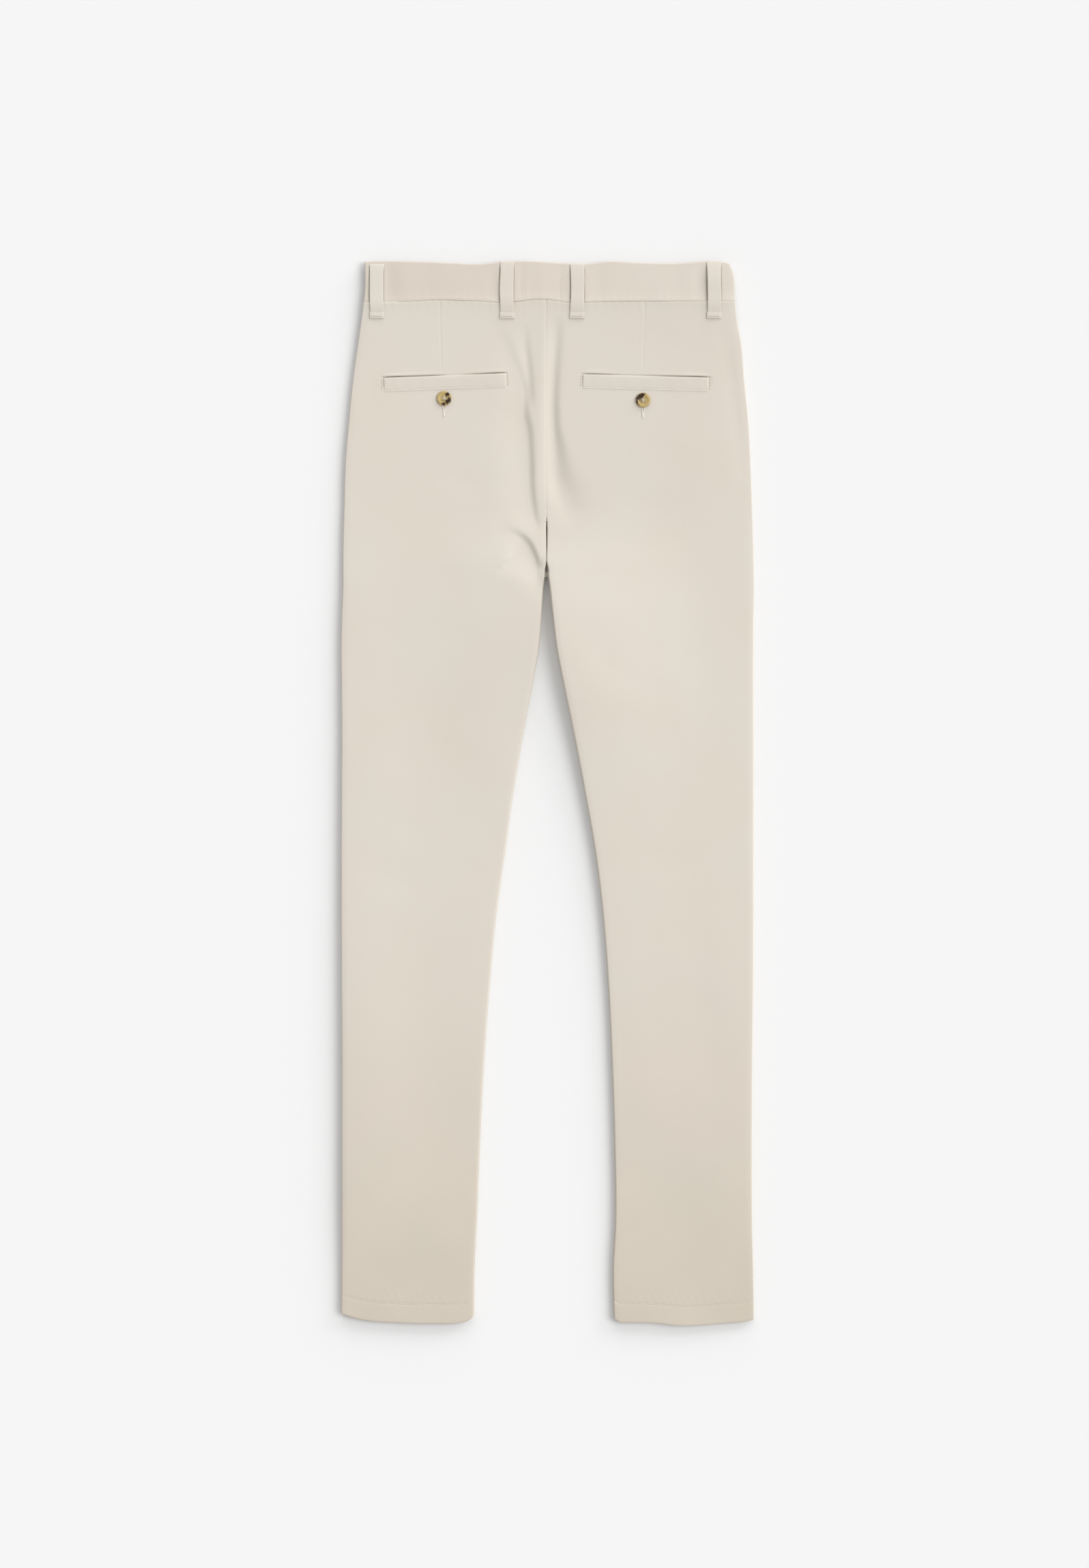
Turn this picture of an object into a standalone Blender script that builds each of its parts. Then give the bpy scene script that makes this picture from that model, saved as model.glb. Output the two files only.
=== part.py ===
"""Slim chino trousers lying flat, back side up, modelled in Blender.

The waist points to +Y, the wearer's right is +X, and the garment rests on z = 0.
Each leg is a flattened tube: a front panel along the ground whose side edges turn
up, and a back panel lying on it whose side edges turn down to meet them.
Lengths in the tables are millimetres; MM turns them into metres.
"""

from math import cos, radians, sin

import bmesh
import bpy
import numpy as np
from mathutils import Vector
from mathutils.bvhtree import BVHTree

MM = 0.001
GAP = 0.3  # clearance between neighbouring pieces

CLOTH = 1.2  # wall of a leg panel
BAND_WALL = 1.8  # wall of the waistband, which is folded double
BAND_CREASE = 0.35  # how much of the seat's creases the band takes up
CREASE_AT = 12.0  # read this far below the waist seam
ROLL = 3.0  # how far in from a side edge the cloth turns over
ROLL_SQUARE = 0.65  # below 1 the turned edge is squarer than an ellipse
SIDE_FALL = 66.0  # how fast the swell along a side edge dies away inwards
INNER_FALL = 95.0  # the same along an inner edge
CENTRE = -1.0  # x of the seat seam and of the centre front

WAIST_TOP = 552.0
WAIST_SEAM = 513.0
OPENS = (300.0, 236.0)  # between these the seat seam sinks between the legs
FRONT_OPENS = (260.0, 232.0)  # the same for the front seam
WAIST_LIFT = 2.4  # front loops and the waist button hold the waist this far up
LIFT_STARTS = 440.0
LIFT_ENDS = 505.0

# A row for each section across the legs, from the waist seam to the hem: the outline,
# then the heights of the middle, of the side edges and of the inner edges.
SECTION_COLUMNS = (
    "y", "left_side", "left_inner", "right_inner", "right_side",
    "middle", "left_edge", "right_edge", "left_inside", "right_inside",
)
SECTIONS = (
    (513.0, -191.4, -1.0, -1.0, 195.0, 8.0, 8.6, 9.6, 8.0, 8.0),
    (490.0, -194.5, -1.0, -1.0, 197.5, 7.4, 8.2, 9.2, 8.0, 8.0),
    (472.0, -197.0, -1.0, -1.0, 201.0, 7.0, 8.0, 8.8, 8.0, 8.0),
    (430.0, -202.8, -1.0, -1.0, 204.8, 6.6, 7.9, 8.2, 8.0, 8.0),
    (387.0, -207.0, -1.0, -1.0, 209.0, 6.5, 7.8, 7.9, 8.0, 8.0),
    (344.0, -210.5, -1.0, -1.0, 211.2, 6.5, 7.8, 7.7, 8.0, 8.0),
    (301.0, -211.7, -1.0, -1.0, 212.8, 6.3, 7.9, 7.6, 8.0, 7.6),
    (260.0, -212.8, -1.0, -1.0, 214.0, 6.0, 8.0, 7.5, 8.4, 7.4),
    (236.0, -213.0, -1.2, -0.8, 214.5, 5.7, 8.2, 7.4, 9.6, 9.2),
    (216.0, -213.0, -3.2, 1.0, 214.8, 5.4, 8.4, 7.3, 11.6, 13.6),
    (195.0, -213.8, -5.9, 4.4, 214.4, 5.0, 8.6, 7.3, 13.0, 18.4),
    (152.0, -214.8, -11.0, 10.0, 214.0, 4.6, 8.8, 7.2, 12.9, 20.6),
    (110.0, -214.4, -16.9, 17.8, 213.9, 4.4, 9.0, 7.1, 12.0, 20.0),
    (67.0, -214.1, -24.5, 26.0, 214.1, 4.2, 9.2, 7.0, 11.0, 17.4),
    (0.0, -214.4, -35.9, 38.8, 214.2, 4.1, 9.4, 7.0, 10.0, 14.2),
    (-61.0, -214.6, -44.3, 49.4, 214.1, 4.0, 9.6, 7.0, 9.4, 12.2),
    (-124.0, -214.6, -53.1, 57.1, 214.1, 4.0, 9.8, 7.0, 9.0, 11.0),
    (-189.0, -214.4, -59.3, 62.2, 213.9, 4.0, 10.0, 7.0, 9.0, 10.3),
    (-274.0, -213.8, -65.7, 66.4, 213.0, 4.0, 10.0, 7.0, 9.0, 9.8),
    (-359.0, -214.0, -70.1, 69.2, 212.4, 4.0, 10.0, 7.0, 9.0, 9.5),
    (-444.0, -213.9, -73.5, 70.1, 212.7, 4.1, 9.8, 7.0, 9.0, 9.3),
    (-500.0, -214.0, -75.9, 67.7, 213.9, 4.2, 9.6, 7.0, 9.0, 9.2),
    (-552.0, -214.4, -76.6, 68.6, 214.6, 4.3, 9.4, 7.0, 9.0, 9.0),
)

# The waistband's two ends, from its seam to its top edge.
BAND_COLUMNS = ("y", "left_side", "right_side", "middle", "left_edge", "right_edge")
BAND_SECTIONS = (
    (513.0, -191.4, 195.0, 8.3, 8.6, 9.6),
    (526.0, -190.2, 194.7, 8.5, 8.8, 9.8),
    (540.0, -190.0, 193.6, 8.6, 8.8, 9.8),
    (548.0, -190.2, 191.6, 8.6, 8.6, 9.7),
    (552.0, -190.6, 189.6, 8.6, 8.4, 9.6),
)

# The hem's lower edge, by how far across the leg it is from the side to the inner leg.
HEM_COLUMNS = ("across", "left", "right")
HEM = (
    (0.00, -539.5, -545.5),
    (0.08, -543.0, -548.0),
    (0.20, -546.5, -549.3),
    (0.40, -548.5, -551.5),
    (0.52, -549.2, -552.0),
    (0.70, -549.5, -549.2),
    (0.90, -549.0, -548.5),
    (0.97, -546.0, -548.0),
    (1.00, -541.5, -543.5),
)
HEM_BLEND = (-430.0, -530.0)  # rows turn from level to the hem's curve between these
HEM_SWELL = {"left": 6.0, "right": 4.6}  # how far the open end of each leg stands up
HEM_SWELLS = (-400.0, -548.0)  # between these heights

# Main folds of the back: a path of (x, y) points, height, and the soft width of the
# fold on its left and right.
FOLDS = (
    ("seat_ridge", ((-3, 512), (-3, 440), (-3, 370), (-3, 290)), 0.6, 8.0, 9.0),
    ("left_crease", ((-50, 478), (-31, 440), (-24, 395), (-18.6, 340), (-9, 272)), -3.0, 20.0, 4.5),
    ("upper_crease", ((-23, 480), (-19.5, 440), (-17, 398)), -1.6, 4.0, 4.0),
    ("right_crease", ((10, 485), (6, 403), (8, 354), (18, 303), (30, 280)), -3.6, 9.0, 9.0),
    ("thigh_hook", ((-56, 273), (-34, 269), (-18, 258), (-10, 238), (-7, 210)), -3.4, 24.0, 4.5),
    ("left_hip", ((-134, 503), (-168, 456), (-183, 424), (-187, 392)), -0.5, 12.0, 12.0),
    ("right_hip", ((180, 494), (188, 452), (197, 390), (204, 300)), -0.5, 9.0, 8.0),
    ("left_cheek", ((-120, 340), (-96, 326), (-70, 322), (-46, 334)), -0.5, 15.0, 15.0),
    ("right_cheek", ((50, 330), (74, 312), (104, 306), (130, 316)), -0.4, 17.0, 17.0),
)

# Columns of a back panel between its turned edges, as shares of that width.
SEAT_SHARES = (0, 0.24, 0.43, 0.61, 0.74, 0.825, 0.88, 0.917, 0.948, 0.975, 1)
SHARES_BLEND = (280.0, 110.0)  # columns spread out evenly between these heights
FRONT_COLUMNS = 5
ROLL_STEPS = 3

LOOP_WIDTH = 15.3
LOOP_WALL = 1.3
LOOP_END = 495.0
LOOP_REACH = 2.5  # a loop clears what lies this near each of its points
LOOP_BULGE = 0.8  # how far a back loop stands off the band half way down
LOOPS = (
    ("loop_back_outer_left", -177.8),
    ("loop_back_inner_left", -42.4),
    ("loop_back_inner_right", 31.0),
    ("loop_back_outer_right", 173.2),
)
FRONT_LOOPS = (("loop_front_left", -104.0), ("loop_front_right", 104.0))
FRONT_LOOP_BULGE = 0.6

WELT_WALL = 0.9
WELT_REACH = 4.0
WELT_STEPS = 12
WELT_HEIGHT = 12.8
WELT_COLUMNS = ("name", "x", "y", "length", "tilt")
WELTS = (
    ("welt_left", -106.8, 429.2, 128.0, 2.2),
    ("welt_right", 101.8, 428.8, 131.5, -1.6),
)

POCKET_BUTTONS = (
    ("pocket_button_left", -107.6, 411.9),
    ("pocket_button_right", 99.3, 410.1),
)
POCKET_BUTTON_RADIUS = 7.7
WAIST_BUTTON_RADIUS = 8.5
WAIST_BUTTON_Y = 533.0
BUTTON_THICK = 2.0
BUTTON_DISH = 0.5
BUTTON_HOLE_RADIUS = 0.95
BUTTON_HOLE_OFFSET = 1.75  # from the button's centre along x and along y
BUTTON_SIDES = 28
SHANK = 0.8  # thread shank that holds a pocket button off the cloth

# Rows of points down a panel: how many, from y, to y. Below the crotch a front and a back
# have the same rows, so that their seam edges run side by side.
HEM_ROWS = (-528.0, -552.0)
BACK_ROWS = ((24, WAIST_SEAM - GAP / 2, 215.0), (13, 190.0, -500.0))
FRONT_ROWS = (
    (3, WAIST_SEAM - GAP / 2, 464.0), (3, LIFT_STARTS, 320.0), (5, 260.0, 210.0), (13, 190.0, -500.0),
)

FINISHES = {  # sRGB colour, roughness
    "twill": ("E0D8CA", 0.9),
    "twill_band": ("DED4C7", 0.9),
    "horn": ("8A6A3C", 0.3),
}


def clear_scene():
    for obj in list(bpy.data.objects):
        bpy.data.objects.remove(obj, do_unlink=True)


def column(rows, names, name):
    index = names.index(name)
    return np.array([row[index] for row in rows], float)


def smooth(x, rows, names, name, key):
    """Smooth curve through a table's column: cubic pieces whose slopes are the mean of
    the slopes on either side of each row."""
    xs = column(rows, names, key)
    ys = column(rows, names, name)
    if xs[0] > xs[-1]:
        xs, ys = xs[::-1], ys[::-1]
    slopes = np.gradient(ys, xs)
    x = np.clip(x, xs[0], xs[-1])
    i = np.clip(np.searchsorted(xs, x, side="right") - 1, 0, len(xs) - 2)
    span = xs[i + 1] - xs[i]
    t = (x - xs[i]) / span
    return (
        ys[i] * (1 + 2 * t) * (1 - t) ** 2
        + slopes[i] * span * t * (1 - t) ** 2
        + ys[i + 1] * t * t * (3 - 2 * t)
        + slopes[i + 1] * span * t * t * (t - 1)
    )


def section(y, name):
    return smooth(y, SECTIONS, SECTION_COLUMNS, name, "y")


def band_section(y, name):
    return smooth(y, BAND_SECTIONS, BAND_COLUMNS, name, "y")


def ease(x, start, end):
    """0 at start and 1 at end, with level ends."""
    t = np.clip((x - start) / (end - start), 0, 1)
    return t * t * (3 - 2 * t)


def lift(y):
    """Height of the garment's underside above the ground."""
    return WAIST_LIFT * ease(y, LIFT_STARTS, LIFT_ENDS)


def seam_height(y, edge):
    """Height of a seam, half way up the turned edge."""
    return (section(y, edge) + lift(y)) / 2


def opened(y):
    """How far the inner edges of the two legs have parted: 0 at the seat, 1 below."""
    return ease(y, *OPENS)


def front_opened(y):
    return ease(y, *FRONT_OPENS)


def fold_path(points, steps=24):
    """Points along a smooth curve through a fold's own points."""
    rows = [(i, x, y) for i, (x, y) in enumerate(points)]
    at = np.linspace(0, len(points) - 1, steps)
    names = ("i", "x", "y")
    return np.stack([smooth(at, rows, names, name, "i") for name in ("x", "y")], -1)


def fold_heights(x, y):
    """Sum of the folds: each is a bell across its path, which fades in and out at
    the path's ends."""
    total = np.zeros(np.broadcast(x, y).shape)
    for _, points, height, left, right in FOLDS:
        path = fold_path(points)
        dx = x[..., None] - path[:, 0]
        dy = y[..., None] - path[:, 1]
        distance = np.hypot(dx, dy)
        near = distance.argmin(-1)
        side = np.take_along_axis(dx, near[..., None], -1)[..., 0]
        along = near / (len(path) - 1)
        fade = np.sin(np.pi * np.clip(along, 0.04, 0.96)) ** 0.6
        width = np.where(side < 0, left, right)
        total += height * fade * np.exp(-((distance.min(-1) / width) ** 2))
    return total


def back_height(x, y, leg):
    """Height of the back panel's outer face away from its turned edges."""
    middle = section(y, "middle") + HEM_SWELL[leg] * ease(y, *HEM_SWELLS)
    at_side = edge_swell(x - section(y, leg + "_side"), SIDE_FALL)
    at_inner = opened(y) * edge_swell(x - section(y, leg + "_inner"), INNER_FALL)
    rise = at_side * (section(y, leg + "_edge") - middle)
    rise = rise + at_inner * (section(y, leg + "_inside") - middle)
    return middle + rise + fold_heights(x, y)


def edge_swell(distance, fall):
    """1 over the turned edge, falling away inwards from it."""
    beyond = np.maximum(np.abs(distance) - ROLL, 0)
    return np.exp(-((beyond / fall) ** 2))


def across(width, shares):
    """Distances from the side edge of every column, and how far each has turned over
    at the side and at the inner edge (0 at the very edge, 1 past the roll)."""
    angles = np.radians(np.linspace(0, 90, ROLL_STEPS + 1))
    roll = ROLL * (1 - np.cos(angles))
    turned = np.sin(angles) ** ROLL_SQUARE
    middle = ROLL + (width - 2 * ROLL) * shares[1:-1]
    distance = np.concatenate([roll, middle, (width - roll)[::-1]])
    flat = np.ones(len(middle))
    at_side = np.concatenate([turned, flat, np.ones(ROLL_STEPS + 1)])
    at_inner = np.concatenate([np.ones(ROLL_STEPS + 1), flat, turned[::-1]])
    return distance, at_side, at_inner


def hem_y(share, leg, y):
    """Rows are level down the leg and take the hem's curve at its end."""
    curve = smooth(share, HEM, HEM_COLUMNS, leg, "across")
    level = np.full_like(curve, y)
    blend = ease(y, *HEM_BLEND)
    return level + blend * (curve - SECTIONS[-1][0])


def panel_grid(leg, rows, seat_shares, is_back):
    """Outer face of a leg panel as a grid of points: rows run down the leg, columns
    from the side seam to the inner edge."""
    sign = 1 if leg == "left" else -1
    apart = GAP / 2 if is_back else -GAP / 2
    even = np.linspace(0, 1, len(seat_shares))
    grid = []
    for y in rows:
        side = section(y, leg + "_side")
        inner = section(y, leg + "_inner") - sign * GAP / 2
        width = abs(inner - side)
        blend = ease(y, *SHARES_BLEND)
        shares = (1 - blend) * np.array(seat_shares) + blend * even
        distance, at_side, at_inner = across(width, shares)
        x = side + sign * distance
        ys = hem_y(distance / width, leg, y)
        side_seam = seam_height(y, leg + "_edge") + apart
        inner_seam = seam_height(y, leg + "_inside") + apart
        if is_back:
            flat, part = back_height(x, np.full_like(x, y), leg), opened(y)
        else:
            flat, part = np.full_like(x, lift(y)), front_opened(y)
        z = flat - (flat - side_seam) * (1 - at_side)
        z = z - part * (flat - inner_seam) * (1 - at_inner)
        grid.append(np.stack([x, ys, z], -1))
    return np.array(grid)


def grid_normals(grid, up):
    """Unit normals of a grid of points, on the side that faces up (+1) or down (-1)."""
    along = np.gradient(grid, axis=0)
    over = np.gradient(grid, axis=1)
    normal = np.cross(along, over)
    normal /= np.linalg.norm(normal, axis=-1, keepdims=True)
    middle = normal[:, normal.shape[1] // 2, 2]
    return normal * up * np.sign(middle.mean())


def set_edge(normal, column_index, direction, part):
    """At a seam the wall is cut square: it faces outwards where the edge is turned
    over, and never leans across the seam where it lies flat."""
    edge = normal[:, column_index]
    edge[:, 0] = direction * np.maximum(direction * edge[:, 0], 0)
    edge *= (1 - part)[:, None]
    edge[:, 0] += direction * part
    edge /= np.linalg.norm(edge, axis=-1, keepdims=True)


def shell(name, outer, normal, wall, finish):
    """Closed wall between a grid of points and the same grid moved in by the wall."""
    rows, columns = outer.shape[:2]
    inner = outer - normal * wall
    bm = bmesh.new()
    layers = [
        [[bm.verts.new(point * MM) for point in row] for row in layer]
        for layer in (outer, inner)
    ]
    for layer in layers:
        for i in range(rows - 1):
            for j in range(columns - 1):
                bm.faces.new((layer[i][j], layer[i][j + 1], layer[i + 1][j + 1], layer[i + 1][j]))
    rim = [(0, j) for j in range(columns)]
    rim += [(i, columns - 1) for i in range(1, rows)]
    rim += [(rows - 1, j) for j in range(columns - 2, -1, -1)]
    rim += [(i, 0) for i in range(rows - 2, 0, -1)]
    for (i, j), (k, m) in zip(rim, rim[1:] + rim[:1]):
        bm.faces.new((layers[0][i][j], layers[0][k][m], layers[1][k][m], layers[1][i][j]))
    return finish_mesh(name, bm, finish)


def finish_mesh(name, bm, finish):
    bmesh.ops.recalc_face_normals(bm, faces=bm.faces)
    mesh = bpy.data.meshes.new(name)
    bm.to_mesh(mesh)
    bm.free()
    mesh.shade_smooth()
    mesh.set_sharp_from_angle(angle=radians(40))
    mesh.materials.append(make_material(name, finish))
    obj = bpy.data.objects.new(name, mesh)
    bpy.context.scene.collection.objects.link(obj)
    return obj


def make_material(name, finish):
    colour, roughness = FINISHES[finish]
    channels = [int(colour[i : i + 2], 16) / 255 for i in (0, 2, 4)]
    linear = [c / 12.92 if c <= 0.04045 else ((c + 0.055) / 1.055) ** 2.4 for c in channels]
    material = bpy.data.materials.new(name + "_" + finish)
    material.use_nodes = True
    shader = material.node_tree.nodes["Principled BSDF"]
    shader.inputs["Base Color"].default_value = (*linear, 1)
    shader.inputs["Roughness"].default_value = roughness
    shader.inputs["Metallic"].default_value = 0
    return material


def panel_rows(spans):
    return np.concatenate([np.linspace(top, low, count) for count, top, low in spans] + [HEM_ROWS])


def leg_panel(name, leg, is_back):
    direction = 1 if leg == "left" else -1
    rows = panel_rows(BACK_ROWS if is_back else FRONT_ROWS)
    shares = SEAT_SHARES if is_back else np.linspace(0, 1, FRONT_COLUMNS + 1)
    grid = panel_grid(leg, rows, shares, is_back)
    normal = grid_normals(grid, 1 if is_back else -1)
    part = opened(rows) if is_back else front_opened(rows)
    set_edge(normal, 0, -direction, np.ones(len(rows)))
    set_edge(normal, -1, direction, part)
    normal[0, :, 1] = 0
    normal[0] /= np.linalg.norm(normal[0], axis=-1, keepdims=True)
    return shell(name, grid, normal, CLOTH, "twill")


def band_height(x, y):
    """Height of the waistband's outer face on the back."""
    middle = band_section(y, "middle")
    rise = 0
    for end in ("left", "right"):
        swell = edge_swell(x - band_section(y, end + "_side"), SIDE_FALL)
        rise = rise + swell * (band_section(y, end + "_edge") - middle)
    creases = fold_heights(x, np.full_like(x, WAIST_SEAM - CREASE_AT))
    return middle + rise + BAND_CREASE * creases


def band_strip(name, x_from, x_to, is_back, columns):
    """A length of waistband; an end that reaches a side is turned over there."""
    rows = np.linspace(WAIST_TOP, WAIST_SEAM + GAP / 2, 4)
    angles = np.radians(np.linspace(0, 90, ROLL_STEPS + 1))[:-1]
    rolled, risen = ROLL * (1 - np.cos(angles)), np.sin(angles) ** ROLL_SQUARE
    apart = GAP / 2 if is_back else -GAP / 2
    grid = []
    for y in rows:
        left, right = band_section(y, "left_side"), band_section(y, "right_side")
        start = left + ROLL if x_from is None else x_from
        end = right - ROLL if x_to is None else x_to
        x = np.linspace(start, end, columns)
        turned = np.ones(columns)
        if x_from is None:
            x = np.concatenate([left + rolled, x])
            turned = np.concatenate([risen, turned])
        if x_to is None:
            x = np.concatenate([x, right - rolled[::-1]])
            turned = np.concatenate([turned, risen[::-1]])
        end_edges = np.where(x < CENTRE, band_section(y, "left_edge"), band_section(y, "right_edge"))
        edge = (end_edges + WAIST_LIFT) / 2 + apart
        flat = band_height(x, np.full_like(x, y)) if is_back else np.full_like(x, WAIST_LIFT)
        grid.append(np.stack([x, np.full_like(x, y), edge + (flat - edge) * turned], -1))
    grid = np.array(grid)
    normal = grid_normals(grid, 1 if is_back else -1)
    if x_from is None:
        set_edge(normal, 0, -1, np.ones(len(rows)))
    if x_to is None:
        set_edge(normal, -1, 1, np.ones(len(rows)))
    normal[..., 1] = 0
    normal /= np.linalg.norm(normal, axis=-1, keepdims=True)
    return shell(name, grid, normal, BAND_WALL, "twill_band")


class Surface:
    """What small pieces lie on: the highest point of some objects' facets at (x, y)."""

    def __init__(self, objects):
        self.trees = []
        for obj in objects:
            bm = bmesh.new()
            bm.from_mesh(obj.data)
            self.trees.append(BVHTree.FromBMesh(bm))
            bm.free()

    def height(self, x, y, reach):
        """Highest facet within reach of (x, y), from nine straight looks down."""
        found = []
        for dx in (-reach, 0, reach):
            for dy in (-reach, 0, reach):
                start = Vector(((x + dx) * MM, (y + dy) * MM, 1.0))
                hits = [tree.ray_cast(start, Vector((0, 0, -1)))[0] for tree in self.trees]
                found += [hit.z / MM for hit in hits if hit]
        return max(found)

    def heights(self, xs, ys, reach):
        flat = [self.height(x, y, reach) for x, y in zip(xs.ravel(), ys.ravel())]
        return np.array(flat).reshape(xs.shape)


def belt_loop(name, x, bulge, surface):
    """Strip from the band's top edge to below its seam, standing off half way down.
    With no surface it lies under the garment, flat on the ground."""
    ys = np.linspace(WAIST_TOP - GAP, LOOP_END, 9)
    xs = x + np.linspace(-LOOP_WIDTH / 2, LOOP_WIDTH / 2, 4)
    gx, gy = np.meshgrid(xs, ys)
    stand = bulge * np.sin(np.pi * np.linspace(0, 1, len(ys)))[:, None] ** 0.7
    if surface:
        outer = surface.heights(gx, gy, LOOP_REACH) + GAP + stand + LOOP_WALL
    else:
        outer = WAIST_LIFT - GAP - stand - LOOP_WALL + 0 * gx
    grid = np.stack([gx, gy, outer], -1)
    normal = np.zeros_like(grid)
    normal[..., 2] = 1 if surface else -1
    return shell(name, grid, normal, LOOP_WALL, "twill")


def welt(surface, name, x, y, length, tilt):
    """Narrow strip along the pocket opening, made from the panel's points moved out."""
    along = np.linspace(-length / 2, length / 2, WELT_STEPS)
    u, v = np.meshgrid(along, [WELT_HEIGHT / 2, 0, -WELT_HEIGHT / 2])
    turn = radians(tilt)
    gx = x + u * cos(turn) - v * sin(turn)
    gy = y + u * sin(turn) + v * cos(turn)
    grid = np.stack([gx, gy, surface.heights(gx, gy, WELT_REACH) + GAP + WELT_WALL], -1)
    normal = np.zeros_like(grid)
    normal[..., 2] = 1
    return shell(name, grid, normal, WELT_WALL, "twill")


def button(name, x, y, radius, low):
    """Turned disc with a rounded rim, a dished face and four holes right through."""
    thick = BUTTON_THICK
    profile = (
        (0, 0), (radius * 0.72, 0), (radius * 0.93, thick * 0.25), (radius, thick * 0.55),
        (radius * 0.95, thick * 0.88), (radius * 0.84, thick), (radius * 0.70, thick * 0.95),
        (radius * 0.60, thick - BUTTON_DISH), (0, thick - BUTTON_DISH),
    )
    bm = bmesh.new()
    points = [bm.verts.new((r * MM, 0, z * MM)) for r, z in profile]
    edges = [bm.edges.new(pair) for pair in zip(points, points[1:])]
    bmesh.ops.spin(
        bm, geom=points + edges, cent=(0, 0, 0), axis=(0, 0, 1),
        angle=radians(360), steps=BUTTON_SIDES, use_merge=True,
    )
    bmesh.ops.remove_doubles(bm, verts=bm.verts, dist=1e-6)
    obj = finish_mesh(name, bm, "horn")
    obj.location = (x * MM, y * MM, low * MM)
    drill(obj, x, y, low)
    return obj


def drill(obj, x, y, low):
    cutter_mesh = bmesh.new()
    for sx in (-1, 1):
        for sy in (-1, 1):
            made = bmesh.ops.create_cone(
                cutter_mesh, cap_ends=True, segments=10, depth=3 * BUTTON_THICK * MM,
                radius1=BUTTON_HOLE_RADIUS * MM, radius2=BUTTON_HOLE_RADIUS * MM,
            )
            offset = (sx * BUTTON_HOLE_OFFSET * MM, sy * BUTTON_HOLE_OFFSET * MM, 0)
            bmesh.ops.translate(cutter_mesh, verts=made["verts"], vec=offset)
    mesh = bpy.data.meshes.new(obj.name + "_holes")
    cutter_mesh.to_mesh(mesh)
    cutter_mesh.free()
    cutter = bpy.data.objects.new(obj.name + "_holes", mesh)
    bpy.context.scene.collection.objects.link(cutter)
    cutter.location = (x * MM, y * MM, (low + BUTTON_THICK / 2) * MM)
    cutter.hide_render = True
    cutter.display_type = "WIRE"
    cut = obj.modifiers.new("holes", "BOOLEAN")
    cut.operation = "DIFFERENCE"
    cut.object = cutter


def pocket_button(name, x, y, surface):
    under = surface.height(x, y, POCKET_BUTTON_RADIUS * 0.8)
    button(name, x, y, POCKET_BUTTON_RADIUS, under + GAP + SHANK)


def build():
    clear_scene()
    backs = []
    for leg in ("left", "right"):
        backs.append(leg_panel("back_" + leg, leg, True))
        leg_panel("front_" + leg, leg, False)
    band = band_strip("waistband_back", None, None, True, 17)
    band_strip("waistband_front_left", None, CENTRE - GAP / 2, False, 7)
    band_strip("waistband_front_right", CENTRE + GAP / 2, None, False, 7)
    surface = Surface([*backs, band])
    for name, x in LOOPS:
        belt_loop(name, x, LOOP_BULGE, surface)
    for name, x in FRONT_LOOPS:
        belt_loop(name, x, FRONT_LOOP_BULGE, None)
    for row in WELTS:
        welt(surface, **dict(zip(WELT_COLUMNS, row)))
    for name, x, y in POCKET_BUTTONS:
        pocket_button(name, x, y, surface)
    button("waist_button", CENTRE, WAIST_BUTTON_Y, WAIST_BUTTON_RADIUS, 0)


build()
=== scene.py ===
# Slim chino trousers laid flat with the back up: cloth, seams, stitching, buttons, light and camera.
# The waist points to +Y, the wearer's right is +X, and the garment lies on z = 0.
# Tables and dictionaries hold millimetres; mm turns them into Blender's metres.
import bpy
import numpy as np
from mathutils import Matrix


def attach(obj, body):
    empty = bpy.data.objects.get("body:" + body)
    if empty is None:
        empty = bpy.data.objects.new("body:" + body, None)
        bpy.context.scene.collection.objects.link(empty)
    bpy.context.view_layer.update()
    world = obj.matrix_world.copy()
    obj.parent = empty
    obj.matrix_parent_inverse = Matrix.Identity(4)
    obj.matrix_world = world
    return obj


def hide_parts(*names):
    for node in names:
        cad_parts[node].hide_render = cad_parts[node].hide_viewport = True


mm = 0.001
centreX = -1.0                     # seat seam and centre front
waistSeamY = 513.0
hemY = -552.0
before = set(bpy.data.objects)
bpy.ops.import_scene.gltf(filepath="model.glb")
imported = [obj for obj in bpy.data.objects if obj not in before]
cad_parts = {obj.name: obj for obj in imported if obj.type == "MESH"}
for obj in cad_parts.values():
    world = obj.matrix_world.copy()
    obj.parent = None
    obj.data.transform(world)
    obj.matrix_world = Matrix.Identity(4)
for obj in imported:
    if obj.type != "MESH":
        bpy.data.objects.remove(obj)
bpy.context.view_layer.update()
print("frame loaded")


def hexToLinear(text):
    # sRGB hex to linear: the standard curve, c/12.92 near black and a 2.4 power above it
    c = np.array([int(text[i:i + 2], 16) / 255 for i in (0, 2, 4)])
    return (*np.where(c <= 0.04045, c / 12.92, ((c + 0.055) / 1.055) ** 2.4), 1.0)


def ease(x, start, end):
    # 0 at start, 1 at end, with level ends: 3t^2 - 2t^3
    t = np.clip((x - start) / (end - start), 0, 1)
    return t * t * (3 - 2 * t)


def bell(distance, width):
    # 1 at the middle, falling away as exp(-(distance/width)^2)
    return np.exp(-(distance / width) ** 2)


def smoothCurve(xs, ys, x):
    # Cubic pieces through the points, each slope the mean of the slopes beside it
    xs, ys = np.asarray(xs, float), np.asarray(ys, float)
    if xs[0] > xs[-1]:
        xs, ys = xs[::-1], ys[::-1]
    slope = np.gradient(ys, xs)
    x = np.clip(x, xs[0], xs[-1])
    i = np.clip(np.searchsorted(xs, x, side="right") - 1, 0, len(xs) - 2)
    span = xs[i + 1] - xs[i]
    t = (x - xs[i]) / span
    return (ys[i] * (1 + 2 * t) * (1 - t) ** 2 + slope[i] * span * t * (1 - t) ** 2
            + ys[i + 1] * t * t * (3 - 2 * t) + slope[i + 1] * span * t * t * (t - 1))


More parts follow.
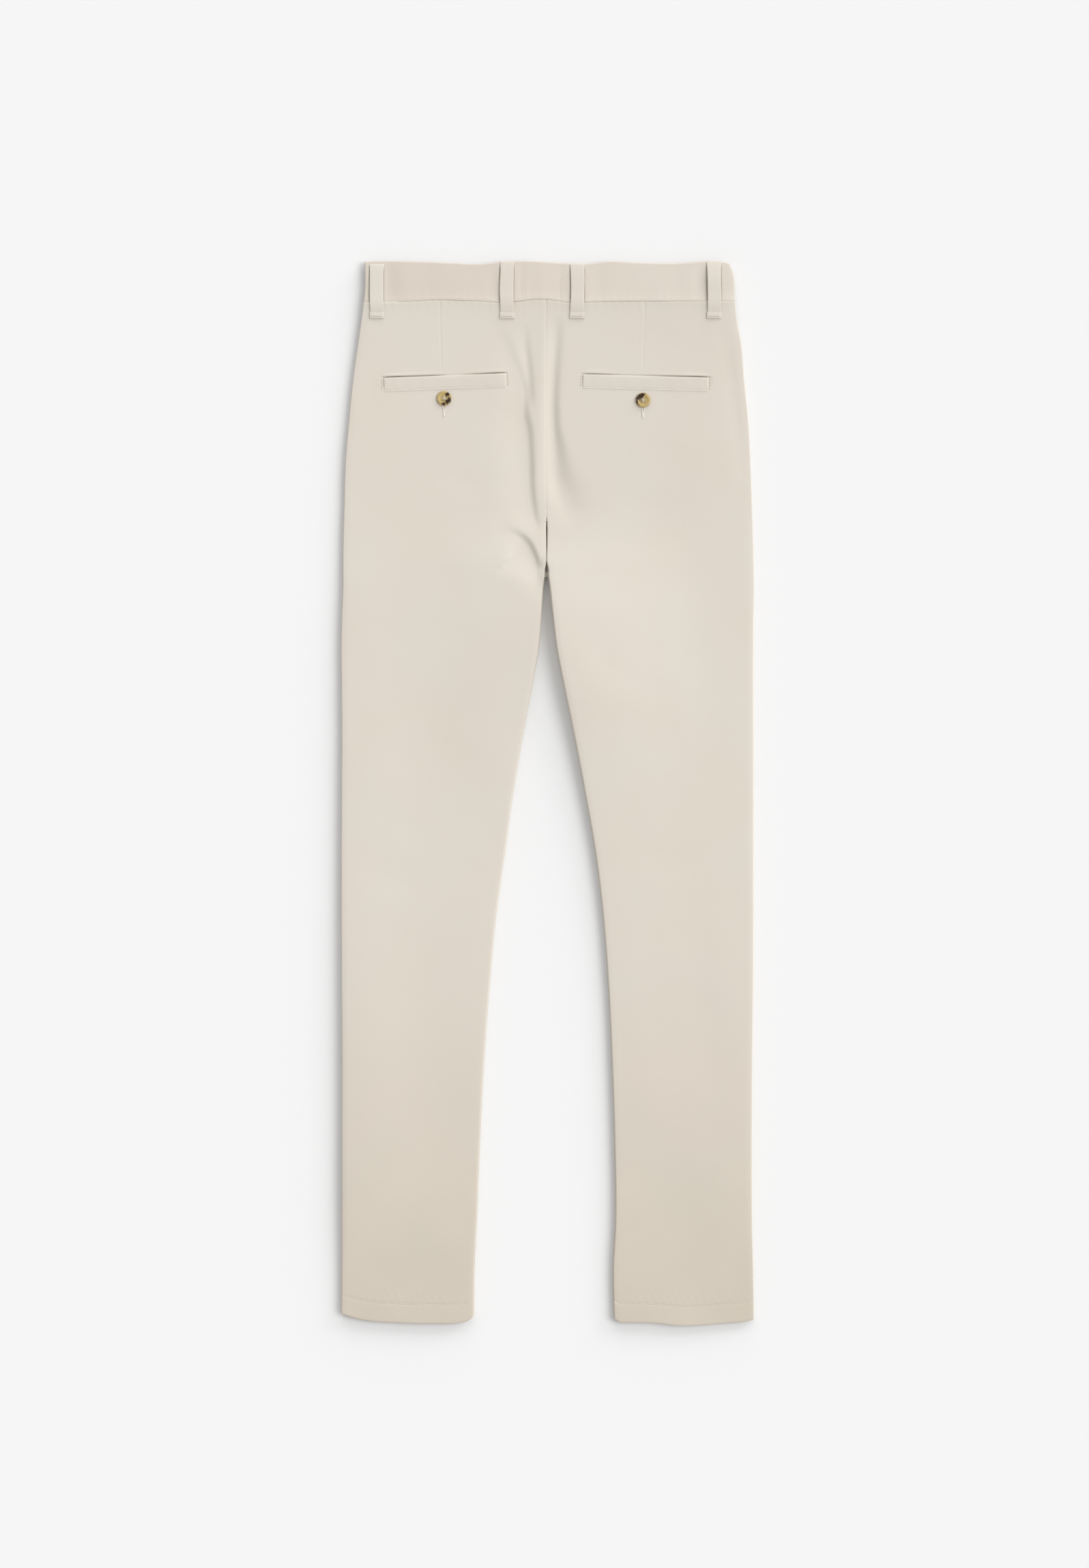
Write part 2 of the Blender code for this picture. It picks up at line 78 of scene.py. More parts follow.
def spread(values, share):
    # The smooth curve through values spaced evenly over a share from 0 to 1
    return smoothCurve(np.linspace(0, 1, len(values)), values, share)


def ripple(x, y, wavelength, height, seed, count=9):
    # Gentle unevenness: the mean of plane waves in random directions, all near one wavelength
    rng = np.random.default_rng(seed)
    turn = rng.uniform(0, np.pi, count)
    size = wavelength * rng.uniform(0.75, 1.4, count)
    phase = rng.uniform(0, 2 * np.pi, count)
    total = np.zeros(np.broadcast(x, y).shape)
    for a, w, p in zip(turn, size, phase):
        total += np.sin(2 * np.pi * (x * np.cos(a) + y * np.sin(a)) / w + p)
    return total * height / np.sqrt(count)


# Outline and heights of the laid legs, a column for each section from waist seam to hem
sections = {
    "y": [513, 490, 472, 430, 387, 344, 301, 260, 236, 216, 195, 152, 110, 67, 0, -61, -124, -189,
          -274, -359, -444, -500, -552],
    "leftSide": [-191.4, -194.5, -197.0, -202.8, -207.0, -210.5, -211.7, -212.8, -213.0, -213.0,
                 -213.8, -214.8, -214.4, -214.1, -214.4, -214.6, -214.6, -214.4, -213.8, -214.0,
                 -213.9, -214.0, -214.4],
    "leftInner": [-1, -1, -1, -1, -1, -1, -1, -1, -1.2, -4.2, -5.6, -9.2, -16.3, -24.5, -35.9,
                  -44.3, -53.1, -59.3, -65.7, -70.1, -73.5, -75.9, -76.6],
    "rightInner": [-1, -1, -1, -1, -1, -1, -1, -1, -0.8, 1.8, 4.0, 9.0, 17.1, 26.0, 38.8, 49.4,
                   57.1, 62.2, 66.4, 69.2, 70.1, 67.7, 68.6],
    "rightSide": [195.0, 197.5, 201.0, 204.8, 209.0, 211.2, 212.8, 214.0, 214.5, 214.8, 214.4,
                  214.0, 213.9, 214.1, 214.2, 214.1, 214.1, 213.9, 213.0, 212.4, 212.7, 213.9,
                  214.6],
    "middle": [8.0, 7.4, 7.0, 6.6, 6.5, 6.5, 6.3, 6.0, 5.7, 5.4, 5.0, 4.6, 4.4, 4.2, 4.1, 4.0, 4.0,
               4.0, 4.0, 4.0, 4.1, 4.2, 4.3],
    "leftEdge": [8.6, 8.2, 8.0, 7.9, 7.8, 7.8, 7.9, 8.0, 8.2, 8.4, 8.6, 8.8, 9.0, 9.2, 9.4, 9.6,
                 9.8, 10.0, 10.0, 10.0, 9.8, 9.6, 9.4],
    "rightEdge": [9.6, 9.2, 8.8, 8.2, 7.9, 7.7, 7.6, 7.5, 7.4, 7.3, 7.3, 7.2, 7.1, 7.0, 7.0, 7.0,
                  7.0, 7.0, 7.0, 7.0, 7.0, 7.0, 7.0],
    "leftInnerEdge": [8, 8, 8, 8, 8.1, 8.5, 9.2, 10.2, 11.2, 12.0, 12.7, 12.9, 12.0, 11.0, 10.0, 9.4, 9, 9,
                      9, 9, 9, 9, 9],
    "rightInnerEdge": [8, 8, 8, 8, 8.1, 8.5, 9.2, 10.6, 13.0, 15.6, 17.9, 19.8, 19.8, 17.4, 14.2, 12.2,
                       11.0, 10.3, 9.8, 9.5, 9.3, 9.2, 9.0],
}
roll = {
    "side": 1.0,                   # how far in from a side edge the cloth turns over
    "square": 0.65,                # below 1 the turned edge is squarer than an ellipse
    "fall": 66.0, "innerFall": 125.0,     # how fast the swell along an edge dies away
    "y": [300, 288, 279, 266, 252, 243, 236, 229, 195],
    "parted": [0, 0.2, 0.85, 0.7, 0.4, 0.35, 0.85, 1, 1],    # how far the seat seam has opened
    "inner": [3, 2.0, 1.8, 1.6, 1.5, 1.5, 1.5, 1.5, 1.5],    # turn-over at the inner edge
    "gapeY": [290, 284, 276, 268, 258, 249, 243, 239, 234, 231, 226],
    "gape": [0, 0.4, 0.6, 0.45, 0.3, 0.2, 0.1, 0.5, 1.3, 0.9, 0.3],   # half the slit's width
}
frontParts = (260, 232)            # the fronts part between these heights
waistLift = {"height": 2.4, "y": (440, 505)}   # front loops and waist button hold the waist up
hem = {
    "across": [0, 0.04, 0.08, 0.20, 0.40, 0.52, 0.70, 0.88, 0.94, 0.98, 1],
    "left": [-539.5, -541, -543, -546.5, -548.5, -549.2, -549.5, -549.0, -547.6, -545, -541.5],
    "right": [-545.5, -547, -548, -549.3, -551.5, -552.0, -549.2, -548.6, -548.6, -547.5, -543.5],
    "blend": (-430, -530),         # rows turn from level to the hem's curve between these
    "fold": 1.15,                  # radius of the turned-up fold
    "depth": 19.0,                 # turned up inside and stitched here
    "swell": {"left": 6.0, "right": 4.6},   # how far the open end of each leg stands up
}
# Folds: a path, then a height and a soft width on its left and right, each list spread evenly
# along the path. A fold's steeper, narrower side is the one that turns from the light
backFolds = [
    dict(name="seat ridge", path=[(-3, 516), (-3.5, 440), (-3.5, 370), (-3, 290)],
         height=[0, 0.5, 0.6, 0.5, 0], left=[8], right=[9]),
    dict(name="left crease", path=[(-58, 493), (-42, 463), (-31.5, 441), (-25, 419), (-24.5, 395),
                                   (-20.6, 376), (-18.6, 340), (-17.8, 318), (-14, 291), (-9, 272)],
         height=[0, -0.7, -1.3, -2.2, -2.9, -3.3, -3.3, -3.0, -2.0, 0],
         left=[12, 14, 18, 24, 26, 26, 22, 14], right=[8, 6.4, 5, 4.2, 3.8, 3.4, 3.2, 3.0]),
    dict(name="upper crease", path=[(-24, 492), (-22.5, 466), (-19.5, 440), (-17.6, 416), (-17, 398)],
         height=[0, -1.1, -1.6, -1.2, 0], left=[9, 6, 4], right=[4.2, 3.2, 2.8]),
    dict(name="right crease", path=[(11, 497), (9.2, 477), (6.6, 438), (5.6, 403), (6.6, 379),
                                    (8, 354), (10, 327), (18, 303), (30, 280)],
         height=[0, -1.5, -2.6, -3.3, -3.7, -4.2, -3.9, -2.0, 0],
         left=[8, 8, 8, 9, 11, 12, 12], right=[5.5, 5.0, 4.6, 4.8, 10, 16, 15]),
    dict(name="thigh hook", path=[(-56, 273), (-45, 272), (-34, 269.5), (-25.5, 265.5), (-18.8, 259),
                                  (-14.4, 250), (-10.8, 240), (-8.4, 229), (-7.4, 217), (-7.4, 203)],
         height=[0, -0.6, -1.6, -2.7, -3.6, -3.9, -3.5, -2.6, -1.2, 0],
         left=[12, 18, 26, 34, 34, 26, 18, 13, 9], right=[9, 7, 4.4, 2.8, 2.2, 2.1, 2.4, 2.9, 3.2]),
    dict(name="left hip", path=[(-134, 503), (-168, 456), (-183, 424), (-187, 392)],
         height=[0, -0.5, -0.5, 0], left=[12], right=[12]),
    dict(name="right hip", path=[(180, 494), (188, 452), (197, 390), (203, 340), (205, 280)],
         height=[0, -0.5, -0.6, -0.5, 0], left=[9], right=[8]),
    dict(name="left cheek", path=[(-120, 340), (-96, 326), (-70, 322), (-46, 334)],
         height=[0, -0.5, -0.5, 0], left=[18], right=[12]),
    dict(name="right cheek", path=[(50, 330), (74, 312), (104, 306), (130, 316)],
         height=[0, -0.4, -0.4, 0], left=[18], right=[16]),
    dict(name="left knee", path=[(-196, -70), (-150, -92), (-108, -86), (-66, -58)],
         height=[0, -0.4, -0.4, 0], left=[16], right=[22]),
    dict(name="right knee", path=[(74, -40), (112, -66), (150, -70), (196, -44)],
         height=[0, -0.4, -0.4, 0], left=[20], right=[16]),
    dict(name="right thigh", path=[(24, 200), (50, 150), (90, 118), (130, 104)],
         height=[0, -0.4, -0.4, 0], left=[16], right=[14]),
]
# The fronts lie on the floor; what they crease shows only from below
frontFolds = [
    dict(name="left groin", path=[(-8, 300), (-30, 340), (-62, 372), (-96, 392)],
         height=[0, 0.7, 0.6, 0], left=[7], right=[7]),
    dict(name="right groin", path=[(8, 300), (30, 336), (60, 366), (92, 384)],
         height=[0, 0.7, 0.6, 0], left=[7], right=[7]),
    dict(name="left shin", path=[(-140, 180), (-144, 0), (-146, -200), (-146, -420)],
         height=[0, 0.5, 0.5, 0], left=[10], right=[10]),
    dict(name="right shin", path=[(140, 180), (142, 0), (143, -200), (143, -420)],
         height=[0, 0.5, 0.5, 0], left=[10], right=[10]),
]
print("measures read")


def section(name, y):
    # One of the table's columns as a smooth curve down the legs
    return smoothCurve(sections["y"], sections[name], y)


def lift(y):
    # How high the front lies off the floor: nothing on the legs, rising to the waist
    return waistLift["height"] * ease(y, *waistLift["y"])


def foldHeights(x, y, folds):
    # Each fold is a bell across its path, with the distance taken to the path's nearest straight
    # piece, and its height and widths follow their lists along the path
    total = np.zeros(np.broadcast(x, y).shape)
    for fold in folds:
        path = np.stack([spread(axis, np.linspace(0, 1, 40)) for axis in zip(*fold["path"])], -1)
        reach = 3 * max(fold["left"] + fold["right"])
        near = ((x > path[:, 0].min() - reach) & (x < path[:, 0].max() + reach)
                & (y > path[:, 1].min() - reach) & (y < path[:, 1].max() + reach))
        if not near.any():
            continue
        point = np.stack([x[near], y[near]], -1)[:, None]
        step = path[1:] - path[:-1]
        offset = point - path[:-1]
        t = np.clip((offset * step).sum(-1) / (step ** 2).sum(-1), 0, 1)
        gap = offset - t[..., None] * step
        distance = np.hypot(gap[..., 0], gap[..., 1])
        best = distance.argmin(1)[:, None]
        cross = step[:, 0] * offset[..., 1] - step[:, 1] * offset[..., 0]
        # A path runs down the leg or towards the right, so its right-hand side is cross > 0
        onRight = np.take_along_axis(cross, best, 1)[:, 0] > 0
        share = (best[:, 0] + np.take_along_axis(t, best, 1)[:, 0]) / len(step)
        left, right = [np.interp(share, np.linspace(0, 1, len(fold[side])), fold[side])
                       for side in ("left", "right")]
        nearest = np.take_along_axis(distance, best, 1)[:, 0]
        total[near] += spread(fold["height"], share) * bell(nearest, np.where(onRight, right, left))
    return total


waistRidge = {"height": 1.1, "below": 8, "above": 5}
clothWaves = [(120, 0.16, 3), (46, 0.05, 5), (17, 0.012, 8)]     # wavelength, height, seed


def seamRidge(y):
    # The waist seam's allowances hold the cloth up: highest at the seam, with an exponential fall
    # on both sides of it
    below, above = np.maximum(waistSeamY - y, 0), np.maximum(y - waistSeamY, 0)
    return waistRidge["height"] * np.exp(-below / waistRidge["below"] - above / waistRidge["above"])


def backHeight(x, y, leg):
    # Outer face of the back away from its turned edges: a level middle, a swell along each edge
    # and at the open hem, the folds and a faint unevenness
    middle = section("middle", y) + hem["swell"][leg] * ease(y, -400, -548)
    toSide = np.maximum(np.abs(x - section(leg + "Side", y)) - roll["side"], 0)
    toInner = np.maximum(np.abs(x - section(leg + "Inner", y)) - roll["side"], 0)
    rise = (section(leg + "Edge", y) - middle) * bell(toSide, roll["fall"])
    swell = ease(y, 300, 236) * (section(leg + "InnerEdge", y) - middle)
    rise = rise + swell * bell(toInner, roll["innerFall"])
    wave = sum(ripple(x, y, *size) for size in clothWaves)
    return middle + rise + foldHeights(x, y, backFolds) + wave + seamRidge(y)


def newPiece(name, points, faces):
    # An object at the origin whose mesh has these points, given in millimetres, and these faces
    mesh = bpy.data.meshes.new(name)
    mesh.from_pydata((points.reshape(-1, 3) * mm).tolist(), [], faces)
    mesh.shade_smooth()
    piece = bpy.data.objects.new(name, mesh)
    bpy.context.scene.collection.objects.link(piece)
    return piece


def gridUv(grid, turn):
    # Cloth coordinates in metres: lengths along one row and the middle column, swapped where the
    # cloth is cut across the grain
    across = np.linalg.norm(np.diff(grid[len(grid) // 3], axis=0), axis=-1)
    down = np.linalg.norm(np.diff(grid[:, grid.shape[1] // 2], axis=0), axis=-1)
    u, v = np.meshgrid(np.append(0, across.cumsum()), np.append(0, down.cumsum()))
    return np.stack([v, u] if turn else [u, v], -1) * mm


def meshFromGrid(name, grid, up=1, turn=False, closed=False):
    # A grid of points becomes quads. An open sheet faces up or down, judged at its middle column;
    # a closed form joins its last column to its first, is capped at both ends and faces outwards
    rows, cols = grid.shape[:2]
    index = np.arange(rows * cols).reshape(rows, cols)
    wide = grid
    if closed:
        index = np.hstack([index, index[:, :1]])
        wide = np.hstack([grid, grid[:, :1]])
    place = np.arange(wide.shape[0] * wide.shape[1]).reshape(wide.shape[:2])
    quads, corners = [np.stack([a[:-1, :-1], a[1:, :-1], a[1:, 1:], a[:-1, 1:]], -1)
                      for a in (index, place)]
    corner = grid.reshape(-1, 3)[quads]
    normal = np.cross(corner[..., 2, :] - corner[..., 0, :], corner[..., 3, :] - corner[..., 1, :])
    if closed:
        facing = (normal * (corner.mean(2) - corner.mean((1, 2))[:, None])).sum()
    else:
        facing = normal[:, normal.shape[1] // 2, 2].sum() * up
    order = slice(None) if facing > 0 else slice(None, None, -1)
    faces = quads.reshape(-1, 4)[:, order].tolist()
    corners = corners.reshape(-1, 4)[:, order].ravel()
    if closed:
        ends = [index[0, :cols][::-1], index[-1, :cols]]
        flip = slice(None) if facing < 0 else slice(None, None, -1)
        faces += [end[flip].tolist() for end in ends]
        corners = np.concatenate([corners] + [place[r, :cols][::d][flip] for r, d in ((0, -1), (-1, 1))])
    piece = newPiece(name, grid, faces)
    layer = piece.data.uv_layers.new(name="cloth")
    layer.data.foreach_set("uv", gridUv(wide, turn).reshape(-1, 2)[corners].astype(np.float32).ravel())
    return piece


def finishPiece(piece, material, nodes=()):
    # The piece moves with the garment's one body and stands for the given nodes
    piece.data.materials.append(material)
    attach(piece, "root")
    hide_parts(*nodes)


def thicken(piece, wall):
    # Gives a sheet its wall, inwards from its right side
    solid = piece.modifiers.new("wall", "SOLIDIFY")
    solid.thickness = wall * mm
    solid.offset = -1
    solid.use_even_offset = False
    solid.use_rim = True


def surfaceNormals(grid, up):
    # Unit normals of a grid, their side judged at its middle column
    normal = np.cross(np.gradient(grid, axis=0), np.gradient(grid, axis=1))
    normal /= np.linalg.norm(normal, axis=-1, keepdims=True) + 1e-12
    return normal * up * np.sign(normal[:, normal.shape[1] // 2, 2].mean())


def turnedIn(grid, up, radius, direction, rises):
    # A sheet's last row goes round a half circle, then runs back inside under the given rises
    normal = surfaceNormals(grid, up)
    end, endNormal = grid[-1], normal[-1]
    arc = np.linspace(0, np.pi, 8)[1:, None, None]
    over = np.array([0, direction, 0])
    turned = end + over * radius * np.sin(arc) - endNormal * radius * (1 - np.cos(arc))
    level = grid[:, grid.shape[1] // 2, 1]
    rows = [np.abs(np.abs(level - level[-1]) - rise).argmin() for rise in rises]
    inside = np.array([grid[row] - normal[row] * 2 * radius for row in rows])
    return np.concatenate([grid, turned, inside])


def stateCut(piece, grid, layers=1):
    # The sheet's flat width, length and area, measured along it
    cell = np.cross(grid[1:, 1:] - grid[:-1, :-1], grid[1:, :-1] - grid[:-1, 1:])
    area = np.linalg.norm(cell, axis=-1).sum() / 2 / layers * mm * mm
    width = np.linalg.norm(np.diff(grid, axis=1), axis=-1).sum(1).max() / layers * mm
    length = np.linalg.norm(np.diff(grid, axis=0), axis=-1).sum(0).max() * mm
    area = min(area, width * length)
    print(f"{piece.name}: cut {width:.3f} x {length:.3f} m, {area:.4f} square metres")


# Leg panels
panel = {
    "wall": 0.8,
    "rollSteps": 9,                # columns round each turned edge
    "seatStep": 2.0,               # column spacing near the seat seam
    "columns": (5, 120, 186),      # out from the seat seam: first, the last that keeps its place, last
    "dart": {"left": 110.0, "right": 101.0},     # darts, measured out from the seat seam
    "dartTop": 513.0, "dartFoot": 438.0,
    "sharesBlend": (280, 110),     # columns change from following the seat seam to even shares
}
pockets = {
    # middle of the welt, its length, tilt in degrees, how open the mouth is along it, its button
    "left": dict(x=-106.8, y=429.2, length=128.0, tilt=2.2, button=(-107.6, 411.9),
                 openAt=[0, 0.03, 0.2, 0.42, 0.52, 0.66, 0.8, 0.96, 1],
                 open=[0.3, 1, 0.95, 0.6, 0.12, 0.2, 0.7, 0.95, 0.3]),
    "right": dict(x=101.8, y=428.8, length=131.5, tilt=-1.6, button=(99.3, 410.1),
                  openAt=[0, 0.04, 0.15, 0.3, 0.45, 0.6, 0.8, 0.96, 1],
                  open=[0.2, 0.7, 0.6, 0.2, 0.2, 0.45, 0.85, 1, 0.3]),
    "height": 12.8,
}


def pocketFrame(pocket, x, y):
    # Position along the pocket from its left end, and down from its mouth
    turn = np.radians(pocket["tilt"])
    dx, dy = x - pocket["x"], y - pocket["y"]
    along = dx * np.cos(turn) + dy * np.sin(turn) + pocket["length"] / 2
    down = pockets["height"] / 2 - (dy * np.cos(turn) - dx * np.sin(turn))
    return along, down


def pocketPoints(leg, alongs, downs):
    # Plan points given by their place on a pocket
    pocket = pockets[leg]
    turn = np.radians(pocket["tilt"])
    u = np.asarray(alongs, float) - pocket["length"] / 2
    v = pockets["height"] / 2 - np.asarray(downs, float)
    return np.stack([pocket["x"] + u * np.cos(turn) - v * np.sin(turn),
                     pocket["y"] + u * np.sin(turn) + v * np.cos(turn)], -1)


def seamRise(x):
    # The waist seam isn't quite straight
    return smoothCurve(band["seamX"], band["seamY"], x)


# How high each sewn line of the back stands, or how deep it is sunk, and its width
sewing = {
    "seat": (-0.12, 0.9), "seatAllowance": (0.10, 2.0), "waist": (-0.5, 1.0), "waistPucker": (0.10, 7),
    "dart": (-0.15, 0.75), "dartFold": (0.04, 1.8), "pocketMouth": (-3.4, 0.7), "pocketLip": (0.35, 1.6),
    "pocketEnd": (-0.5, 0.8), "pocketFoot": (0.15, 0.9), "hemRow": (-0.28, 1.3), "hemRope": (0.04, 9),
}


def sewnLine(name, distance):
    # The line's height times a bell over the distance from it
    height, width = sewing[name]
    return height * bell(distance, width)


def backDetails(x, y, leg):
    # Sunk and raised lines of the sewing: seat seam, waist seam, dart, pocket mouth and
    # hem row
    outwards = np.abs(x - centreX)
    seat = ease(y, 283, 292) * (sewnLine("seat", outwards)
                                + sewnLine("seatAllowance", x - centreX + 3.4))
    waist = sewnLine("waist", waistSeamY - y) - 0.9 * ease(y, waistSeamY, waistSeamY + 1)
    pucker = sewnLine("waistPucker", waistSeamY - y)
    waist = waist + pucker * np.sin(x / 1.35 + 1.2 * np.sin(x / 17.0))
    t = np.clip((panel["dartTop"] - y) / (panel["dartTop"] - panel["dartFoot"]), 0, 1)
    off = outwards - (panel["dart"][leg] + 1.2 - 2.2 * t)
    isDart = ease(y, panel["dartFoot"] - 3, panel["dartFoot"] + 10)
    dart = isDart * (sewnLine("dart", off) + sewnLine("dartFold", off + 2.4))
    pocket = pockets[leg]
    along, down = pocketFrame(pocket, x, y)
    share = along / pocket["length"]
    inside = ease(share, -0.008, 0.004) * ease(1 - share, -0.008, 0.004)
    mouth = smoothCurve(pocket["openAt"], pocket["open"], np.clip(share, 0, 1)) * inside
    slot = mouth * sewnLine("pocketMouth", down + 0.4)
    lip = mouth * sewnLine("pocketLip", down + 2.6)
    atEnd = sewnLine("pocketEnd", along) + sewnLine("pocketEnd", along - pocket["length"])
    ends = atEnd * ease(down, -1, 1) * ease(down, 14.5, 12)
    under = inside * sewnLine("pocketFoot", down - pockets["height"] - 0.8)
    hemDown = hemY - y + hem["depth"]
    row = sewnLine("hemRow", hemDown)
    rope = sewnLine("hemRope", hemDown + 7) * np.sin(x / 1.25 + y / 2.4 + np.sin(x / 11.0))
    return seat + waist + dart + slot + lip + ends + under + row + rope


def levelRows(isBack):
    # Heights of a panel's rows down the leg, close together at seams, pocket mouths and hem
    waist = waistSeamY - np.array([-1.2, -0.6, 0, 0.35, 0.8, 1.3, 2.0, 3.0, 4.2, 5.8, 7.6])
    if isBack:
        seat = np.concatenate([np.arange(503.5, 441, -2.1), np.arange(440.4, 430.5, -0.45),
                               np.arange(429.2, 406, -2.1), np.arange(405.2, 391, -1.0),
                               np.arange(390.4, 214, -2.1)])
        leg = np.arange(212, -506, -5.0)
    else:
        seat = np.arange(502, 215, -4.0)
        leg = np.arange(212, -506, -8.0)
    end = np.concatenate([np.arange(-508, -528, -2.0), np.arange(-528.5, -537, -0.8),
                          np.arange(-538, -551.5, -2.0), [hemY]])
    return np.concatenate([waist, seat, leg, end])


def seatColumns(leg, isBack):
    # Distances out from the seat seam of the columns between the turned edges
    first, _, last = panel["columns"]
    if not isBack:
        return np.linspace(first, last, 46)
    dart = panel["dart"][leg]
    return np.concatenate([np.arange(first, dart - 6.8, panel["seatStep"]),
                           np.arange(dart - 6.2, dart + 4.2, 0.62),
                           np.linspace(dart + 6, last, 34)])


def rollColumns(y, leg, isBack):
    # Columns of every row as a distance in from the side seam, with how far each has turned over
    # at the side and at the inner edge: 0 at the very edge, 1 past its squared quarter ellipse
    sign = 1 if leg == "left" else -1
    width = np.abs(section(leg + "Inner", y) - sign * 0.04 - section(leg + "Side", y))
    width = width - isBack * np.interp(-y, -np.array(roll["gapeY"]), roll["gape"])
    angle = np.linspace(0, np.pi / 2, panel["rollSteps"] + 1)
    fromSeam = seatColumns(leg, isBack)[::-1][None]
    first, fixed, last = panel["columns"]
    stretched = fixed + (fromSeam - fixed) * (width - first - fixed) / (last - fixed)
    seat = width - np.where(fromSeam > fixed, stretched, fromSeam)
    even = first + (width - 2 * first) * np.linspace(0, 1, fromSeam.shape[1])[None]
    blend = ease(y, *panel["sharesBlend"])
    middle = ((1 - blend) * seat + blend * even)[:, 1:-1]
    innerRoll = smoothCurve(roll["y"], roll["inner"], y)
    distance = np.concatenate([roll["side"] * (1 - np.cos(angle))[None] + 0 * y, middle,
                               width - innerRoll * (1 - np.cos(angle[::-1]))[None]], 1)
    level, whole = np.ones(middle.shape[1]), np.ones(len(angle))
    turned = np.sin(angle) ** roll["square"]
    atSide = np.concatenate([turned, level, whole])[None]
    atInner = np.concatenate([whole, level, turned[::-1]])[None]
    return section(leg + "Side", y) + sign * distance, distance / width, atSide, atInner


def realY(x, y, leg, share):
    # A row's own height down the leg, bent to the waist seam's line and to the hem's curve
    hemLine = smoothCurve(hem["across"], hem[leg], share)
    return y + ease(y, *hem["blend"]) * (hemLine - hemY) + ease(y, 470, waistSeamY) * seamRise(x)


def frontHeight(x, y):
    # The front lies level: its centre seam, waist seam and hem row are sunk, and it has soft folds
    seam = 0.5 * bell(x - centreX, 0.9) * ease(y, 240, 262)
    waist = 0.5 * bell(waistSeamY - y, 1.3)
    row = 0.2 * bell(hemY - y + hem["depth"], 1.3)
    return lift(y) + seam + waist + row + foldHeights(x, y, frontFolds)


def panelGrid(leg, isBack):
    # Rows run down the leg, columns from the side seam to the inner edge. Across a row the cloth
    # rises over a quarter ellipse at the side, runs level with its folds, and below the seat
    # turns down over another at the inner edge
    y = levelRows(isBack)[:, None]
    x, share, atSide, atInner = rollColumns(y, leg, isBack)
    wideY = y + 0 * x
    sideSeam = (section(leg + "Edge", y) + lift(y)) / 2
    innerSeam = (section(leg + "InnerEdge", y) + lift(y)) / 2
    if isBack:
        flat, detail = backHeight(x, wideY, leg), backDetails(x, wideY, leg)
        part = smoothCurve(roll["y"], roll["parted"], y)
    else:
        flat, detail = frontHeight(x, wideY), 0
        part = ease(y, *frontParts)
    z = flat - (flat - sideSeam) * (1 - atSide) - part * (flat - innerSeam) * (1 - atInner)
    z = z + detail * atSide * (1 - part * (1 - atInner))
    return np.stack([x, realY(x, y, leg, share), z], -1)


def legPanel(leg, isBack):
    # One panel with its hem turned up inside
    side = "back" if isBack else "front"
    up = 1 if isBack else -1
    grid = panelGrid(leg, isBack)
    grid = turnedIn(grid, up, hem["fold"], -1, (4, 9, 14, hem["depth"] + 1))
    piece = meshFromGrid(leg + side.title(), grid, up)
    thicken(piece, panel["wall"])
    finishPiece(piece, twill, [f"{side}_{leg}"])
    stateCut(piece, grid)


# Waistband: one flat tube round the waist, from the tab on the wearer's left front round the back
# to the right front, which passes inside the tab
band = {
    "y": [513, 526, 540, 548, 552],
    "left": [-191.4, -190.2, -190.0, -190.2, -190.6],
    "right": [195.0, 194.7, 193.6, 191.6, 189.6],
    "middle": [8.3, 8.5, 8.6, 8.6, 8.6],
    "leftEdge": [8.6, 8.8, 8.8, 8.6, 8.4],
    "rightEdge": [9.6, 9.8, 9.8, 9.7, 9.6],
    "roll": 1.0, "fall": 60.0, "wall": 0.9, "rim": 1.15,
    "tab": 17.0,                   # how far the left front runs past the middle
    "seamX": [-196, -150, -113, -75, -42, -15, -2, 22, 60, 198],
    "seamY": [-1.0, -0.3, 1.3, 0.4, -1.0, 1.8, 1.9, -1.0, -0.2, 0.0],
    "topX": [-192, -182, -142, -100, -72, -50, -43, -13, 0, 26, 46, 62, 90, 116, 136, 166, 186, 191],
    "topY": [0.6, 1.5, 1.3, -0.2, -1.3, 0.8, 1.5, 1.5, 0.6, -0.7, -0.7, 1.4, 0.3, -0.6, -0.6, 1.5, 0.2,
             -1.2],
}
bandFolds = [dict(path=[(x, 556), (x + lean, 510)], height=[0, height, height, 0],
                  left=[left], right=[right])
             for x, lean, height, left, right in [
                 (-166, 1, -0.45, 4, 8), (-150, -2, 0.2, 9, 9), (-58, 3, -0.4, 9, 5),
                 (-26, 0, -0.25, 4, 2.2), (-8, 0, 0.3, 9, 8), (14, 1, -0.25, 5, 3),
                 (54, -3, -0.4, 7, 9), (92, 2, 0.25, 12, 12), (157, 2, -0.6, 8, 6),
                 (186, 4, -0.4, 4, 4)]]


# Belt loops: pressed strips sewn down at both ends
loopShape = {
    "width": 14.0, "wall": 1.0, "foot": 15.2, "footWall": 1.2,
    "y": [552.4, 552.0, 551, 547, 540, 532, 522, 514, 507, 503.2, 501.8, 500, 497.5, 495.8, 495],
    "stand": [-1.2, -0.5, 0.1, 0.35, 0.5, 0.6, 0.7, 0.9, 1.0, 0.8, 0.5, 0.6, 0.65, 0.55, 0.4],
    # how far a loop's top lies above the band's edge
    "over": {"OuterLeft": -2.6, "InnerLeft": 0.5, "InnerRight": 0.5, "OuterRight": 0.6, "FrontLeft": -1,
             "FrontRight": -1},
    "grooveLeft": 1.7, "grooveRight": 0.5,     # how deep the cloth is pressed in beside a loop
    "bulge": [0, 0, 0, 0.35, 0.8, 1, 0.7, 0.4, 0.1, 0, 0, 0, 0, 0, 0],
}
loops = [("OuterLeft", "loop_back_outer_left", -177.8, 0.2),
         ("InnerLeft", "loop_back_inner_left", -42.4, 0.3),
         ("InnerRight", "loop_back_inner_right", 31.0, 0.4),
         ("OuterRight", "loop_back_outer_right", 173.2, 1.9)]
frontLoops = [("FrontLeft", "loop_front_left", -104.0), ("FrontRight", "loop_front_right", 104.0)]


